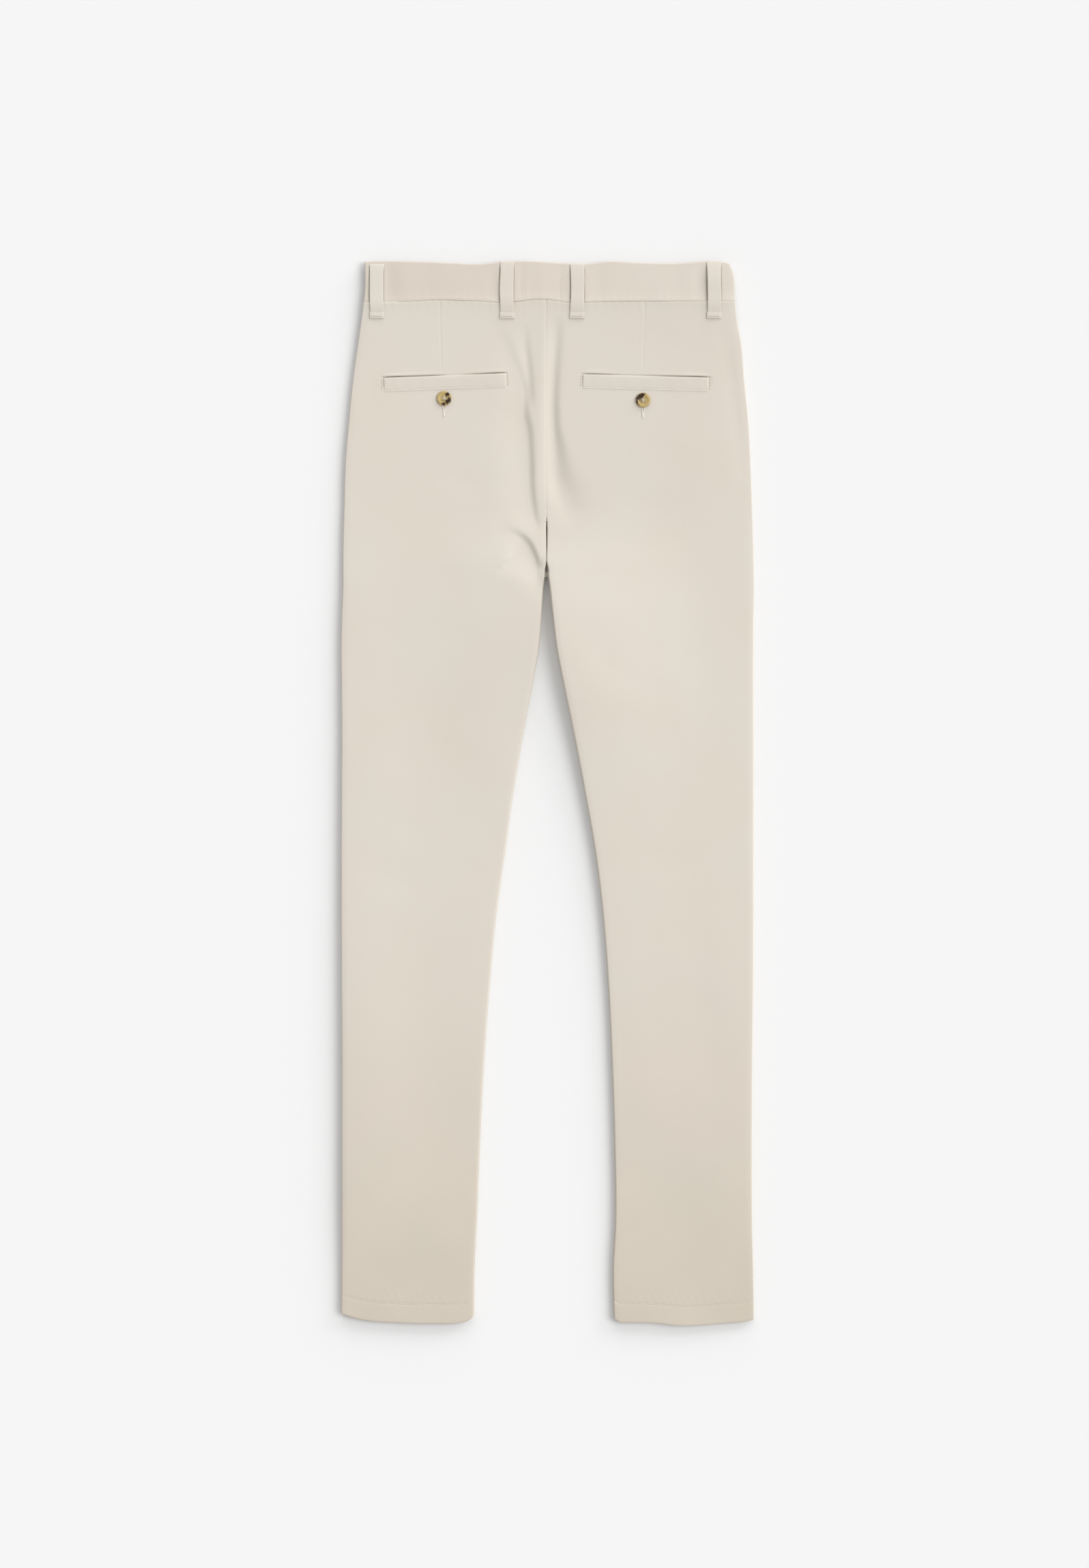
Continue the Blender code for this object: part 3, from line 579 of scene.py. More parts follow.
def bandMeasure(name, y):
    # One of the band's columns as a smooth curve from its seam to its top
    return smoothCurve(band["y"], band[name], y)


def loopGrooves(x):
    # The cloth is pressed in along both sides of each loop, deeper on the side away from the light
    depth = 0
    for loop in loops:
        for side, name in ((-1, "grooveLeft"), (1, "grooveRight")):
            at = loop[2] + side * (loopShape["width"] / 2 + 0.1)
            depth = depth + loopShape[name] * bell(x - at, 0.5)
    return depth


def bandHeight(x, y):
    # Outer face of the band on the back: a swell at each end, what the seat's creases leave in it,
    # its own soft folds, and the sunk seam with its ridge
    middle = bandMeasure("middle", y)
    fromLeft = np.maximum(x - bandMeasure("left", y) - band["roll"], 0)
    fromRight = np.maximum(bandMeasure("right", y) - band["roll"] - x, 0)
    rise = ((bandMeasure("leftEdge", y) - middle) * bell(fromLeft, band["fall"])
            + (bandMeasure("rightEdge", y) - middle) * bell(fromRight, band["fall"]))
    creases = foldHeights(x, waistSeamY - 17 + 0 * x, backFolds) * 0.5 * (1 - ease(y, 514, 540))
    creases = creases - loopGrooves(x) * ease(y, 550, 545)
    up = y - waistSeamY
    seam = -0.3 * bell(up, 1.0) + 0.08 * bell(up - 3, 1.6)
    pucker = 0.06 * bell(up - 4, 5) * np.sin(x / 1.3 + 1.1 * np.sin(x / 15.0))
    wave = ripple(x, y * 0.35, 38, 0.10, 12) + ripple(x, y, 90, 0.1, 14)
    return (middle + rise + creases + foldHeights(x, y, bandFolds) + seam + pucker + wave
            + seamRidge(y))


def backTop(x, y):
    # Height of whatever cloth lies uppermost on the back, for what is sewn on it
    x, y = np.broadcast_arrays(np.asarray(x, float), np.asarray(y, float))
    leg = np.where(x < centreX, backHeight(x, y, "left"), backHeight(x, y, "right"))
    return np.where(y > waistSeamY, bandHeight(x, y), leg)


def waistBand():
    # Rows run up the band, columns round it: front, squared half circle, back, half circle, front
    y = waistSeamY + np.array([0, 0.4, 0.9, 1.6, 2.4, 3.4, 4.8, 6.6, 8.6, 11, 13.5, 16, 18.5, 21, 23.5,
                               26, 28.5, 31, 33.5, 35.5, 37, 38.2, 38.9])[:, None]
    left, right = bandMeasure("left", y), bandMeasure("right", y)
    under = waistLift["height"] + 0.5 * bell(y - waistSeamY, 1.3)
    start, stop = left + band["roll"], right - band["roll"]
    turn = np.linspace(-np.pi / 2, np.pi / 2, 15)[1:-1][None]
    squared = np.sign(turn) * np.abs(np.sin(turn)) ** roll["square"]
    xs, zs = [], []
    out = np.linspace(0, 1, 64)[None]
    # Wearer's left front, on the outside, then the turn at the left side
    x = centreX + band["tab"] + (start - centreX - band["tab"]) * out
    xs.append(x)
    zs.append(under - 0.15 * ease(x, -26, 0))
    half = (bandHeight(start, y) - under) / 2
    xs.append(start - band["roll"] * np.cos(turn))
    zs.append(under + half + half * squared)
    # The back, with columns close together beside the loops, then the turn at the right side
    beside = np.array([loop[2] + side * loopShape["width"] / 2 for loop in loops for side in (-1, 1)])
    close = (beside[:, None] + np.arange(-1.6, 1.7, 0.32)).ravel()
    even = np.array([a for a in np.arange(-184, 182.1, 1.8) if np.abs(beside - a).min() > 1.9])
    inner = np.sort(np.concatenate([close, even]))[None]
    x = np.concatenate([start, (start + inner[:, :1]) / 2, inner + 0 * y, (stop + inner[:, -1:]) / 2,
                        stop], 1)
    xs.append(x)
    zs.append(bandHeight(x, y + 0 * x))
    half = (bandHeight(stop, y) - under) / 2
    xs.append(stop + band["roll"] * np.cos(turn))
    zs.append(under + half - half * squared)
    # Wearer's right front, passing inside the tab
    x = stop + (centreX - band["tab"] - stop) * out
    xs.append(x)
    zs.append(under + 1.3 * ease(x, 34, 20))
    x, z = [np.concatenate([a + 0 * y for a in parts], 1) for parts in (xs, zs)]
    share = ease(y, waistSeamY, 552)
    top = smoothCurve(band["topX"], band["topY"], x)
    grid = np.stack([x, y + (1 - share) * seamRise(x) + share * top, z], -1)
    grid = turnedIn(grid, 1, band["rim"], 1, (3, 8, 14, 20, 26, 32, 36))
    piece = meshFromGrid("waistband", grid, turn=True)
    thicken(piece, band["wall"])
    finishPiece(piece, bandTwill,
                ["waistband_back", "waistband_front_left", "waistband_front_right"])
    stateCut(piece, grid)


def sweep(name, path, across, profile, **more):
    # A closed form along a path: the profile's first number runs along across, its second along
    # the normal that across and the path make
    forward = np.gradient(path, axis=0)
    forward /= np.linalg.norm(forward, axis=-1, keepdims=True)
    normal = np.cross(across, forward)
    normal /= np.linalg.norm(normal, axis=-1, keepdims=True)
    grid = (path[:, None] + np.asarray(across, float) * profile[..., :1]
            + normal[:, None] * profile[..., 1:])
    return meshFromGrid(name, grid, closed=True, **more), grid


def beltLoop(name, node, x, extra=0, isFront=False):
    # A strip with pressed, rounded sides; its profile is a squared ellipse
    shape = loopShape
    at = np.linspace(0, 1, 64)
    y = spread(shape["y"], at)
    stand = spread(shape["stand"], at) + extra * spread(shape["bulge"], at)
    foot = ease(y, 503, 500.5)
    width = shape["width"] + (shape["foot"] - shape["width"]) * foot + 0.3 * np.sin(y / 6.0 + x)
    width = width + 0.8 * ease(y, 543, 552)
    y = y + ease(y, 520, 552) * (smoothCurve(band["topX"], band["topY"], x) + shape["over"][name])
    wall = (shape["wall"] + (shape["footWall"] - shape["wall"]) * foot) * ease(at, 1.02, 0.97)
    if isFront:
        z = waistLift["height"] - 0.75 - 0.55 * stand.clip(0.4, 1.2)
    else:
        sideways = np.linspace(-6, 6, 5)[None]
        under = backTop(x + sideways, y[:, None] + 0 * sideways).max(1)
        under = np.convolve(np.pad(under, 3, "edge"), np.ones(7) / 7, "valid")
        z = under + stand + 0.2
    turn = np.linspace(0, 2 * np.pi, 36, endpoint=False) + 0.03
    cosine, sine = np.cos(turn), np.sin(turn)
    profile = np.stack([width[:, None] / 2 * np.sign(cosine) * np.abs(cosine) ** 0.32,
                        wall[:, None] / 2 * np.sign(sine) * np.abs(sine) ** 0.45], -1)
    lean = 0.35 * np.sin(y / 9.0 + 2 * x)
    piece, grid = sweep("beltLoop" + name, np.stack([x + lean, y, z], -1), (1, 0, 0), profile)
    finishPiece(piece, twill, [node])
    stateCut(piece, grid, 2)
    return z


# Pocket welts: a folded strip whose upper edge is free and whose lower edge and ends are sewn in
weltShape = {
    "wall": 0.6,
    "down": [-0.5, -0.3, 0.0, 0.35, 0.8, 1.6, 2.6, 4.5, 6.5, 8.5, 10.2, 11.4, 12.1, 12.6, 12.9],
    "height": [-0.9, -0.2, 0.35, 0.62, 0.72, 0.72, 0.68, 0.6, 0.5, 0.4, 0.3, 0.22, 0.14, 0.05, -0.2],
}


def welt(leg):
    # Rows run down the strip, columns along it; its height over the back follows its profile, dies
    # away at both ends, and its upper edge droops where the mouth is shut
    pocket = pockets[leg]
    edge = np.array([0, 0.3, 0.7, 1.3, 2.2])
    middle = np.linspace(3.6, pocket["length"] - 3.6, 80)
    along = np.concatenate([edge, middle, pocket["length"] - edge[::-1]])
    along, down = np.meshgrid(along, np.array(weltShape["down"]))
    x, y = np.moveaxis(pocketPoints(leg, along, down), -1, 0)
    inwards = np.minimum(along, pocket["length"] - along)
    height = smoothCurve(weltShape["down"], weltShape["height"], down)
    height = height * ease(inwards, -0.6, 1.4) - 0.5 * (1 - ease(inwards, 0, 1.0))
    mouth = smoothCurve(pocket["openAt"], pocket["open"], along / pocket["length"])
    height = height - 0.25 * (1 - mouth) * bell(down, 1.6)
    height = height + 0.05 * np.sin(along / 2.6 + 3 * np.sin(along / 21.0)) * ease(down, 0, 4)
    grid = np.stack([x, y, backHeight(x, y, leg) + height], -1)
    piece = meshFromGrid(leg + "Welt", grid, turn=True)
    thicken(piece, weltShape["wall"])
    finishPiece(piece, twill, ["welt_" + leg])
    stateCut(piece, grid)


# Buttons: turned discs with a raised rim, a dish and four holes, sewn on with a thread shank
buttonShape = {"thick": 2.0, "dish": 0.55, "hole": 0.95, "offset": 1.7, "segments": 72}


def buttonRings(radius):
    # Rings of the turned form from the middle of its face over the rim to the middle of its back:
    # distance from the axis, and height from 0 at the back to the full thickness
    thick, dish = buttonShape["thick"], buttonShape["dish"]
    face = np.concatenate([[0.08], np.arange(0.35, radius * 0.6, 0.24)])
    rim = np.linspace(radius * 0.61, radius * 0.86, 14)[1:]
    turn = np.linspace(0, np.pi, 16)[1:-1]
    edge = radius * 0.87 + radius * 0.13 * np.sin(turn)
    distance = np.concatenate([face, rim, edge, [radius * 0.85, radius * 0.5, 0.08]])
    rise = ease(rim, radius * 0.60, radius * 0.70) * (1 - 0.12 * ease(rim, radius * 0.72, radius * 0.86))
    height = np.concatenate([thick - dish + 0.08 * (face / radius) ** 2, thick - dish + dish * rise,
                             thick * (0.5 + 0.44 * np.cos(turn)), [0.02, 0, 0]])
    return distance, height


def button(name, node, place, radius, facing, patches):
    # facing is 1 where the button's face looks up and -1 where it looks down. The patches are the
    # dark marks of the horn: direction in degrees, distance out, size and strength
    distance, height = buttonRings(radius)
    turn = np.linspace(0, 2 * np.pi, buttonShape["segments"], endpoint=False)[None]
    x, y = distance[:, None] * np.cos(turn), distance[:, None] * np.sin(turn)
    onFace = np.arange(len(distance))[:, None] < len(distance) - 3
    hole, offsets = buttonShape["hole"], (-buttonShape["offset"], buttonShape["offset"])
    pit = sum(1 - ease(np.hypot(x - a, y - b), hole * 0.6, hole * 1.1) for a in offsets for b in offsets)
    z = height[:, None] - onFace * pit * 1.1
    if facing < 0:
        z = buttonShape["thick"] - z
    grid = np.stack([x + place[0], y + place[1], z + place[2]], -1)
    piece = meshFromGrid(name, grid, closed=True)
    dark = np.zeros_like(x)
    warped = np.stack([x + ripple(x, y, 4, 0.5, 2), y + ripple(x, y, 4, 0.5, 4)])
    for direction, away, size, strength in patches:
        a = np.radians(direction)
        gap = np.hypot(warped[0] - away * np.cos(a), warped[1] - away * np.sin(a))
        dark = np.maximum(dark, strength * (1 - ease(gap, size * 0.4, size * 1.25)))
    layer = piece.data.attributes.new("horn", "FLOAT", "POINT")
    layer.data.foreach_set("value", dark.ravel().astype(np.float32))
    finishPiece(piece, horn, [node])


# Sewing thread: stitches, cords and bars
thread = {"radius": 0.26, "length": 2.2, "pitch": 3.1, "rise": 0.12}


def capsules(name, middles, directions, lengths, radii, material=None):
    # Short stitches in one mesh: each is five rings of six points along its direction, as wide as
    # the fourth root of what 1 - t^4 leaves, t running from -1 to 1
    middles, directions = np.atleast_2d(middles), np.atleast_2d(directions).astype(float)
    directions = directions / np.linalg.norm(directions, axis=1, keepdims=True)
    upright = np.where(np.abs(directions[:, 2:]) > 0.9, [[1.0, 0, 0]], [[0, 0, 1.0]])
    side = np.cross(directions, upright)
    side /= np.linalg.norm(side, axis=1, keepdims=True)
    over = np.cross(side, directions)
    rings, sides = 5, 6
    t = np.linspace(-1, 1, rings)[None, :, None, None]
    size = np.maximum(1 - t ** 4, 0.12) ** 0.25
    turn = (np.arange(sides) * 2 * np.pi / sides)[None, None, :, None]
    lengths, radii = [np.broadcast_to(a, len(middles)).reshape(-1, 1, 1, 1) for a in (lengths, radii)]
    points = (middles[:, None, None] + directions[:, None, None] * t * lengths / 2
              + side[:, None, None] * np.cos(turn) * size * radii
              + over[:, None, None] * np.sin(turn) * size * radii)
    ring = np.arange(rings * sides).reshape(rings, sides)
    nextOne = np.roll(ring, -1, axis=1)
    quads = np.stack([ring[:-1], nextOne[:-1], nextOne[1:], ring[1:]], -1).reshape(-1, 4)
    shift = np.arange(len(middles))[:, None, None] * rings * sides
    faces = (quads + shift).reshape(-1, 4).tolist()
    faces += (np.stack([ring[0, ::-1], ring[-1]]) + shift).reshape(-1, sides).tolist()
    finishPiece(newPiece(name, points, faces), material or sewingThread)


def stitchRows(name, rows):
    # One piece from rows of plain stitches, each a pair of middles and directions
    middles, directions = [np.concatenate(column) for column in zip(*rows)]
    capsules(name, middles, directions, thread["length"], thread["radius"])


def alongPath(path, pitch):
    # Middles and directions of stitches spaced evenly along a path of points
    path = np.asarray(path, float)
    run = np.append(0, np.linalg.norm(np.diff(path, axis=0), axis=1).cumsum())
    at = np.arange(pitch / 2, run[-1], pitch)
    middle = np.stack([np.interp(at, run, path[:, k]) for k in range(3)], -1)
    ahead = np.stack([np.interp(at + 0.5, run, path[:, k]) - np.interp(at - 0.5, run, path[:, k])
                      for k in range(3)], -1)
    return middle, ahead


def hemStitches(leg, isBack):
    # A row above the hem, following its curve
    y = np.full((1, 1), hemY + hem["depth"])
    sign = 1 if leg == "left" else -1
    side, inner = section(leg + "Side", y), section(leg + "Inner", y)
    share = np.linspace(0.035, 0.965, 60)[None]
    x = side + (inner - side) * share
    wideY = y + 0 * x
    z = (backHeight(x, wideY, leg) + backDetails(x, wideY, leg) + thread["rise"] if isBack
         else frontHeight(x, wideY) - thread["rise"])
    path = np.stack([x, realY(x, y, leg, share), z], -1)[0]
    name = f"hemStitches{'Back' if isBack else 'Front'}{leg.title()}"
    stitchRows(name, [alongPath(path[::sign], thread["pitch"])])


def onBack(points, rise=thread["rise"]):
    # Plan points brought up to lie on the back
    points = np.asarray(points, float)
    return np.column_stack([points, backTop(points[:, 0], points[:, 1]) + rise])


def pocketStitches(leg):
    # The two ends of a pocket are closed by a row, and its lower edge is edge-stitched
    length, height = pockets[leg]["length"], pockets["height"]
    below = np.linspace(0, length, 60)
    rows = [pocketPoints(leg, [-1.5, -1.5], [0, height + 1]),
            pocketPoints(leg, [length + 1.5, length + 1.5], [0, height + 1]),
            pocketPoints(leg, below, np.full(60, height + 1.2))]
    stitchRows(leg + "WeltStitches", [alongPath(onBack(row, 0.3), thread["pitch"]) for row in rows])


def buttonhole(leg):
    # Two beads of close stitches that part under the button, joined by a bar at the lower end
    x, y = pockets[leg]["button"]
    bead = dict(pitch=0.42, width=0.95, radius=0.34)
    arm = [(2.0, -6.8), (1.2, -9.6), (0.5, -12.0), (0.42, -17.0)]
    middles, aheads = [], []
    for side in (-1, 1):
        middle, ahead = alongPath(onBack([(x + side * a, y + b) for a, b in arm], 0.3), bead["pitch"])
        middles.append(middle)
        aheads.append(np.cross(ahead, [0, 0, 1.0]))
    bar = onBack([(x, y - 17.2), (x, y - 17.8), (x, y - 18.4)], 0.3)
    middle = np.concatenate(middles + [bar])
    ahead = np.concatenate(aheads + [np.tile([1.0, 0, 0], (3, 1))])
    length = np.append(np.full(len(middle) - 3, bead["width"]), [1.9] * 3)
    capsules(leg + "Buttonhole", middle, ahead, length, bead["radius"], buttonholeTwist)


def buttonThread(name, place, facing):
    # Crossed strands between the holes, and the wound shank behind the button
    reach = buttonShape["offset"]
    across = 2 * reach * np.sqrt(2) + 0.5
    face = place[2] + facing * (buttonShape["thick"] - buttonShape["dish"] + 0.28)
    back = place[2] - facing * 0.75
    if facing < 0:
        face, back = place[2] + buttonShape["dish"] - 0.28, place[2] + buttonShape["thick"] + 0.4
    middles, directions = [], []
    for level, turn in ((0, 1), (0.42, -1)):
        for shift in (-0.36, 0.36):
            middles.append((place[0] + shift * 0.7, place[1] - turn * shift * 0.7, face + facing * level))
            directions.append((1, turn, 0))
    middles.append((place[0], place[1], back))
    directions.append((0, 0, 1))
    capsules(name, middles, directions, [across] * 4 + [1.4], [0.22] * 4 + [1.3])


def loopBars(tops):
    # Each loop is tacked down through its foot by a bar of close stitches
    middles = []
    for (_, _, x, _), top in zip(loops, tops):
        at = np.arange(-5.1, 5.2, 0.85)
        middles += [(x + a, 497.6 + 0.15 * np.sin(9 * a), top) for a in at]
    capsules("loopBars", middles, np.tile([0.12, 1.0, 0], (len(middles), 1)), 1.9, 0.34)


small = {
    "labelRows": (-26.2, 14.2),    # where the rows that hold the label run down the band
    "tacks": [(-3.2, 299.4), (-2.8, 293.0), (-1.8, 284.5)],
    "tackLean": (0.25, -0.2, 0.5),
    "barX": (-2.2, -0.1), "barHeight": 6.5,
    "fly": [(-38, 510), (-37.6, 440), (-36.6, 392), (-33.5, 370), (-26, 354), (-15, 345), (-4, 341)],
}


def smallRows():
    # The label's two rows through the band, the three tacks over the slit in the seat seam, the
    # bar where the four inner seams meet, and the curved row beside the fly, which faces the floor
    rows = [alongPath(onBack([(x, y) for y in np.linspace(538, 516, 12)], 0.05), thread["pitch"])
            for x in small["labelRows"]]
    rows.append((onBack(small["tacks"], 0.05), np.array([(1.0, lean, 0) for lean in small["tackLean"]])))
    bar = [(x, y, small["barHeight"]) for x in small["barX"] for y in np.arange(226.6, 231.4, 0.5)]
    rows.append((np.array(bar), np.array([(1.0, 0.1, 0)] * len(bar))))
    path = np.stack([spread(axis, np.linspace(0, 1, 80)) for axis in zip(*small["fly"])], -1)
    under = frontHeight(path[:, 0], path[:, 1]) - thread["rise"]
    rows.append(alongPath(np.column_stack([path, under]), thread["pitch"]))
    stitchRows("seamTacks", rows)


# Materials

def newMaterial(name):
    # A material with its node tree and shader
    material = bpy.data.materials.new(name)
    material.use_nodes = True
    tree = material.node_tree
    shader = tree.nodes["Principled BSDF"]
    return material, tree, shader


def addNode(tree, kind, settings=(), inputs=(), links=()):
    # One node with its settings, its plain input values and its links from other sockets
    node = tree.nodes.new(kind)
    for key, value in dict(settings).items():
        setattr(node, key, value)
    for key, value in dict(inputs).items():
        node.inputs[key].default_value = value
    for key, socket in dict(links).items():
        tree.links.new(socket, node.inputs[key])
    return node


def setShader(shader, values):
    # Plain values on the shader's own sockets
    for key, value in values.items():
        shader.inputs[key].default_value = value


cloth = {
    "light": "D0C9BE",             # pale stone
    "warm": "D0C5B9",
    "low": "BAB09F",               # painted shade: the darker tone that the legs fall towards below the knee, standing in for light falling off towards the hem
    "band": ("CBC2B6", "D1C9BE"),  # wearer's left and right; the left's darker tone is painted shade
    "rib": 0.9,                    # twill rib spacing; the real 0.5 is too fine to show
    "ribDepth": 0.05,
    "yarn": 0.4,                   # size of the yarns' unevenness
    "shader": {"Roughness": 0.92, "Sheen Weight": 0.08, "Sheen Roughness": 0.6,
               "Specular IOR Level": 0.2},
}


def wovenTwill(name, isBand=False):
    # Cotton twill woven with a steep diagonal rib: a matt, softly ribbed cloth whose yarns differ
    # a little in tone, and whose short fibres lighten it at a glancing angle
    material, tree, shader = newMaterial(name)
    place = addNode(tree, "ShaderNodeTexCoord")
    split = addNode(tree, "ShaderNodeSeparateXYZ", links={0: place.outputs["Object"]})
    # Painted shade: the legs' colour darkens from the knee to the hem, and the band's towards the wearer's
    # left
    reach = (-0.2, 0.2) if isBand else (-0.01, -0.9)
    tone = addNode(tree, "ShaderNodeMapRange", {"interpolation_type": "SMOOTHSTEP"},
                   {1: reach[0], 2: reach[1]}, {0: split.outputs["X" if isBand else "Y"]})
    patch = addNode(tree, "ShaderNodeTexNoise", inputs={"Scale": 9.0, "Detail": 3.0},
                    links={"Vector": place.outputs["Object"]})
    yarns = addNode(tree, "ShaderNodeTexNoise", inputs={"Scale": 1 / (cloth["yarn"] * mm), "Detail": 2.0},
                    links={"Vector": place.outputs["Object"]})
    first, last = cloth["band"] if isBand else (cloth["light"], cloth["low"])
    fall = addNode(tree, "ShaderNodeMix", {"data_type": "RGBA"},
                   {6: hexToLinear(first), 7: hexToLinear(last)}, {0: tone.outputs[0]})
    patchShare = addNode(tree, "ShaderNodeMapRange", inputs={1: 0.35, 2: 0.75, 3: 0, 4: 0.5},
                         links={0: patch.outputs["Fac"]})
    warm = addNode(tree, "ShaderNodeMix", {"data_type": "RGBA"}, {7: hexToLinear(cloth["warm"])},
                   {0: patchShare.outputs[0], 6: fall.outputs[2]})
    yarnTone = addNode(tree, "ShaderNodeMapRange", inputs={1: 0.3, 2: 0.7, 3: 0.975, 4: 1.02},
                       links={0: yarns.outputs["Fac"]})
    tinted = addNode(tree, "ShaderNodeVectorMath", {"operation": "SCALE"},
                     links={0: warm.outputs[2], "Scale": yarnTone.outputs[0]})
    tree.links.new(tinted.outputs[0], shader.inputs["Base Color"])
    # The rib runs on the diagonal of the cloth's own coordinates: sin(2 pi (u + v/2) / spacing)
    uv = addNode(tree, "ShaderNodeUVMap", {"uv_map": "cloth"})
    ribSpace = addNode(tree, "ShaderNodeVectorMath", {"operation": "DOT_PRODUCT"},
                       {1: (2 * np.pi / (cloth["rib"] * mm), np.pi / (cloth["rib"] * mm), 0)},
                       {0: uv.outputs[0]})
    rib = addNode(tree, "ShaderNodeMath", {"operation": "SINE"}, links={0: ribSpace.outputs["Value"]})
    height = addNode(tree, "ShaderNodeMath", {"operation": "MULTIPLY_ADD"}, {1: 0.5},
                     {0: rib.outputs[0], 2: yarns.outputs["Fac"]})
    bump = addNode(tree, "ShaderNodeBump", inputs={"Strength": 0.3, "Distance": cloth["ribDepth"] * mm},
                   links={"Height": height.outputs[0]})
    tree.links.new(bump.outputs[0], shader.inputs["Normal"])
    setShader(shader, cloth["shader"])
    return material


thread["plain"] = ("DFD9CD", "CDC4B7")       # painted highlight on the high side of each turn, painted shade on the low side
thread["twist"] = ("EEE8DE", "DED6CA")
thread["ply"] = 0.45               # a turn of the twist


def spunThread(name, highlightAndShade):
    # Spun polyester sewing thread, two plies twisted: paler than the cloth, with fine slanting
    # turns that catch the light one after another, painted lighter on their high sides and darker on
    # their low sides as painted highlight and painted shade
    material, tree, shader = newMaterial(name)
    place = addNode(tree, "ShaderNodeTexCoord")
    plies = addNode(tree, "ShaderNodeTexWave", {"bands_direction": "DIAGONAL"},
                    {"Scale": 0.3 / (thread["ply"] * mm), "Distortion": 0.6},
                    {"Vector": place.outputs["Object"]})
    # Painted highlight and painted shade: the crests of the twist's wave take the lighter tone, its
    # hollows the darker
    colour = addNode(tree, "ShaderNodeMix", {"data_type": "RGBA"},
                     {6: hexToLinear(highlightAndShade[1]), 7: hexToLinear(highlightAndShade[0])},
                     {0: plies.outputs["Fac"]})
    bump = addNode(tree, "ShaderNodeBump", inputs={"Strength": 0.5, "Distance": 0.08 * mm},
                   links={"Height": plies.outputs["Fac"]})
    tree.links.new(colour.outputs[2], shader.inputs["Base Color"])
    tree.links.new(bump.outputs[0], shader.inputs["Normal"])
    setShader(shader, {"Roughness": 0.7, "Sheen Weight": 0.1, "Specular IOR Level": 0.3})
    return material


hornLook = {
    "tan": "B6A06A", "cloud": "7A6444", "dark": "2E1F12",
    "cloudSize": 5.0,
    "shader": {"Roughness": 0.3, "Specular IOR Level": 0.3, "Coat Weight": 0.15, "Coat Roughness": 0.12},
}


def mouldedHorn():
    # Polyester cast to look like horn, then polished: clear tan with smoky streaks and dark marks,
    # and a glossy surface that shows the light as a small soft spot
    material, tree, shader = newMaterial("Polyester cast, horn effect, polished")
    place = addNode(tree, "ShaderNodeTexCoord")
    clouds = addNode(tree, "ShaderNodeTexNoise",
                     inputs={"Scale": 1 / (hornLook["cloudSize"] * mm), "Detail": 3.0, "Distortion": 1.2},
                     links={"Vector": place.outputs["Object"]})
    marks = addNode(tree, "ShaderNodeAttribute", {"attribute_name": "horn"})
    smoke = addNode(tree, "ShaderNodeMapRange", {"interpolation_type": "SMOOTHSTEP"},
                    {1: 0.48, 2: 0.72, 3: 0, 4: 0.55}, {0: clouds.outputs["Fac"]})
    both = addNode(tree, "ShaderNodeMath", {"operation": "MAXIMUM"},
                   links={0: smoke.outputs[0], 1: marks.outputs["Fac"]})
    first = addNode(tree, "ShaderNodeMix", {"data_type": "RGBA"},
                    {6: hexToLinear(hornLook["tan"]), 7: hexToLinear(hornLook["cloud"])},
                    {0: both.outputs[0]})
    deep = addNode(tree, "ShaderNodeMapRange", {"interpolation_type": "SMOOTHSTEP"},
                   {1: 0.35, 2: 0.95}, {0: marks.outputs["Fac"]})
    second = addNode(tree, "ShaderNodeMix", {"data_type": "RGBA"}, {7: hexToLinear(hornLook["dark"])},
                     {0: deep.outputs[0], 6: first.outputs[2]})
    tree.links.new(second.outputs[2], shader.inputs["Base Color"])
    setShader(shader, hornLook["shader"])
    return material


twill = wovenTwill("Cotton twill woven")
bandTwill = wovenTwill("Cotton twill woven, waistband", True)
sewingThread = spunThread("Polyester thread spun", thread["plain"])
buttonholeTwist = spunThread("Polyester buttonhole twist", thread["twist"])
horn = mouldedHorn()
print("materials made")

for leg in ("left", "right"):
    legPanel(leg, True)
    legPanel(leg, False)
    hemStitches(leg, True)
    hemStitches(leg, False)
    welt(leg)
    pocketStitches(leg)
    buttonhole(leg)
waistBand()
print("cloth made")

tops = []
for name, node, x, extra in loops:
    z = beltLoop(name, node, x, extra)
    tops.append(z[-12] + loopShape["footWall"] / 2)
for name, node, x in frontLoops:
    beltLoop(name, node, x, isFront=True)
loopBars(tops)
smallRows()

pocketButtons = {
    "left": [(52, 5.6, 2.2, 1), (34, 3.4, 2.6, 0.45), (-14, 5.8, 2.8, 1), (-44, 5.0, 3.0, 0.95),
             (-95, 5.8, 2.2, 0.9)],
    "right": [(92, 5.6, 2.6, 1), (126, 4.8, 3.2, 0.9), (158, 3.6, 3.6, 0.6), (164, 6.0, 2.5, 0.95),
              (196, 6.6, 1.9, 0.95), (226, 6.9, 1.6, 0.8)],
}
for leg, patches in pocketButtons.items():
    x, y = pockets[leg]["button"]
    place = (x, y, float(backTop(x, y)) + 0.4)
    button(leg + "PocketButton", "pocket_button_" + leg, place, 7.7, 1, patches)
    buttonThread(leg + "PocketButtonThread", place, 1)
place = (centreX, 533.0, 0.0)
patches = [(30, 5, 2.6, 1), (200, 6, 2.2, 0.9), (260, 4, 2.4, 0.7)]
button("waistButton", "waist_button", place, 8.5, -1, patches)
buttonThread("waistButtonThread", place, -1)
print("loops, stitches and buttons made")

# Floor, light and camera

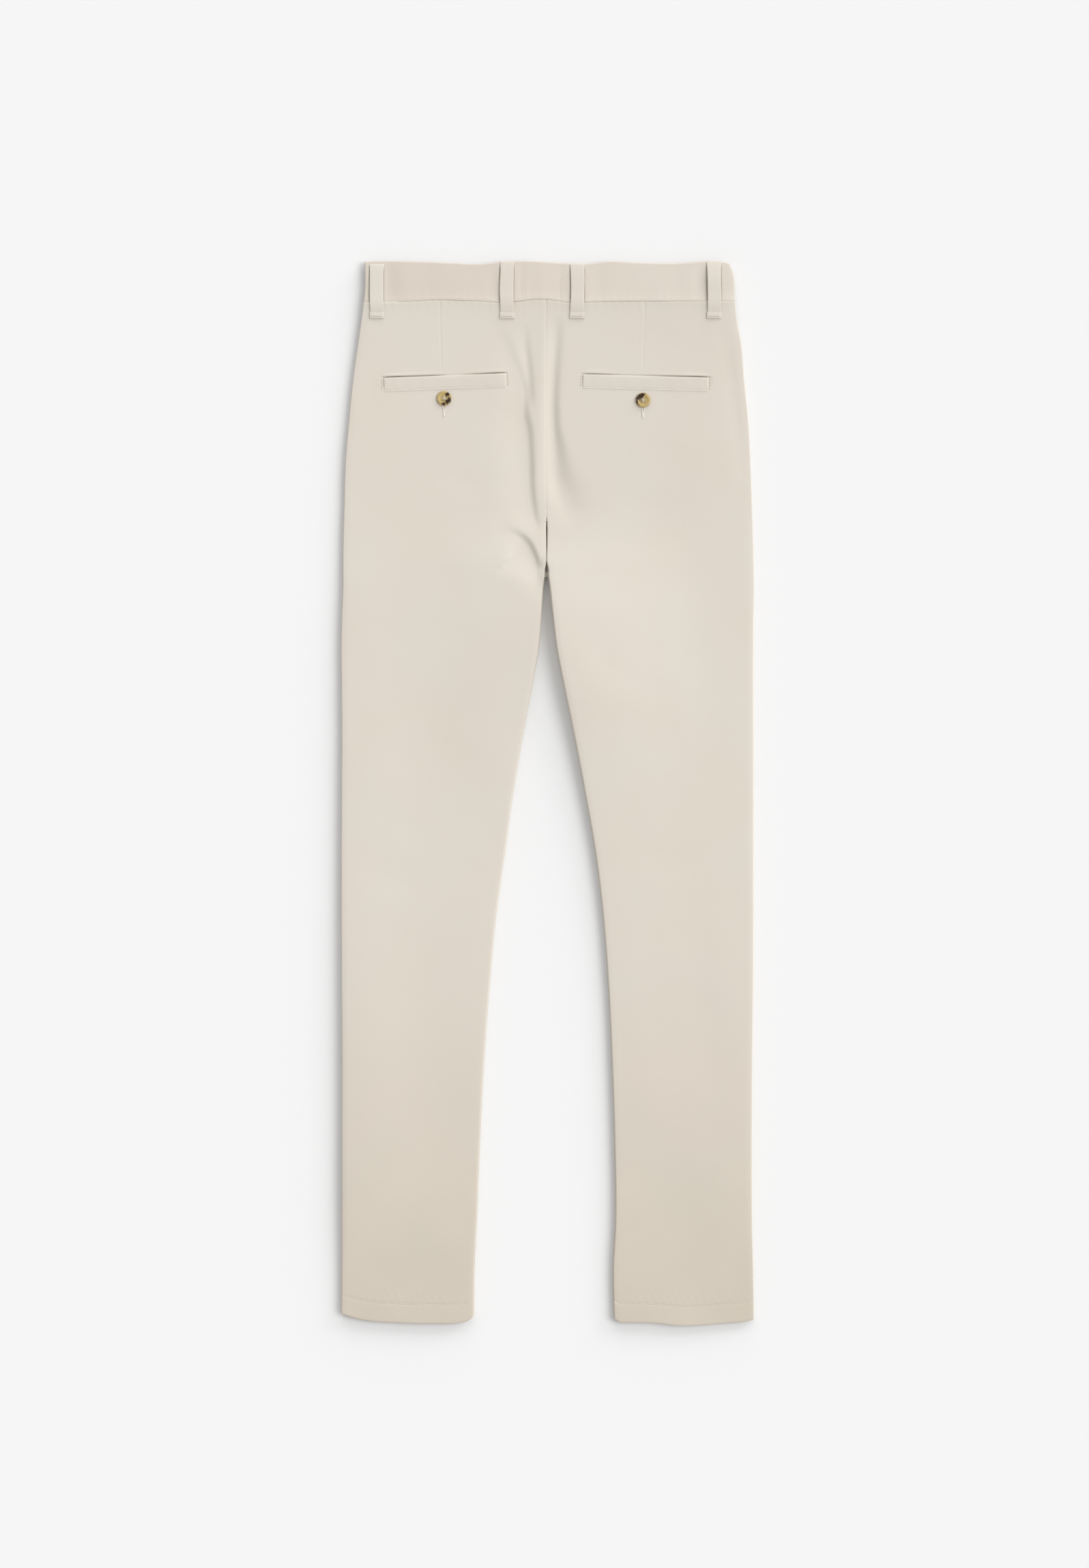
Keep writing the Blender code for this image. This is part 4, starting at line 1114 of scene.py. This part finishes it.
studio = {
    "floor": "E6E6E6", "reach": 6000, "below": 0.3,     # its colour, half its width, how far down
    "white": 0.923,                # brightness of the bare floor
    "world": 0.535,                # the shares of the floor's light add up to 1
    # each lamp: its share, where it comes from (degrees from +X towards +Y, then above the floor)
    # and its apparent size
    "lamps": [("fillLight", 0.30, 8, 50, 36), ("keyLight", 0.075, 40, 17, 24),
              ("waistLight", 0.09, 85, 20, 50)],
}


def sun(name, share, turn, height, size):
    # A sun whose light on the level floor is the given share of the whole
    light = bpy.data.lights.new(name, "SUN")
    light.energy = share * brightness * np.pi / np.sin(np.radians(height))
    light.angle = np.radians(size)
    lamp = bpy.data.objects.new(name, light)
    lamp.rotation_euler = (0, np.radians(90 - height), np.radians(turn))
    bpy.context.scene.collection.objects.link(lamp)


def stage():
    # A level white floor, an even white world and the lamps
    corners = [[(x, y, -studio["below"]) for x in (-studio["reach"], studio["reach"])]
               for y in (studio["reach"], -studio["reach"])]
    floor = meshFromGrid("floor", np.array(corners, float))
    material, _, shader = newMaterial("Paper backdrop, matt white")
    setShader(shader, {"Base Color": hexToLinear(studio["floor"]), "Roughness": 1.0,
                       "Specular IOR Level": 0.0})
    floor.data.materials.append(material)
    world = bpy.data.worlds.new("studio")
    world.use_nodes = True
    background = world.node_tree.nodes["Background"]
    background.inputs["Color"].default_value = (1, 1, 1, 1)
    background.inputs["Strength"].default_value = studio["world"] * brightness
    bpy.context.scene.world = world
    for lamp in studio["lamps"]:
        sun(*lamp)


brightness = studio["white"] / hexToLinear(studio["floor"])[0]
stage()

view = {"centre": (-3.2, 10.8), "height": 1632.3, "distance": 4200.0}
lens = bpy.data.cameras.new("camera")
lens.sensor_fit = "VERTICAL"
lens.sensor_height = 36
lens.lens = 36 * (view["distance"] - 5) / view["height"]
camera = bpy.data.objects.new("camera", lens)
camera.location = (view["centre"][0] * mm, view["centre"][1] * mm, view["distance"] * mm)
bpy.context.scene.collection.objects.link(camera)
bpy.context.scene.camera = camera
bpy.context.scene.view_settings.view_transform = "Standard"
bpy.context.scene.view_settings.look = "None"
print("stage, light and camera placed")
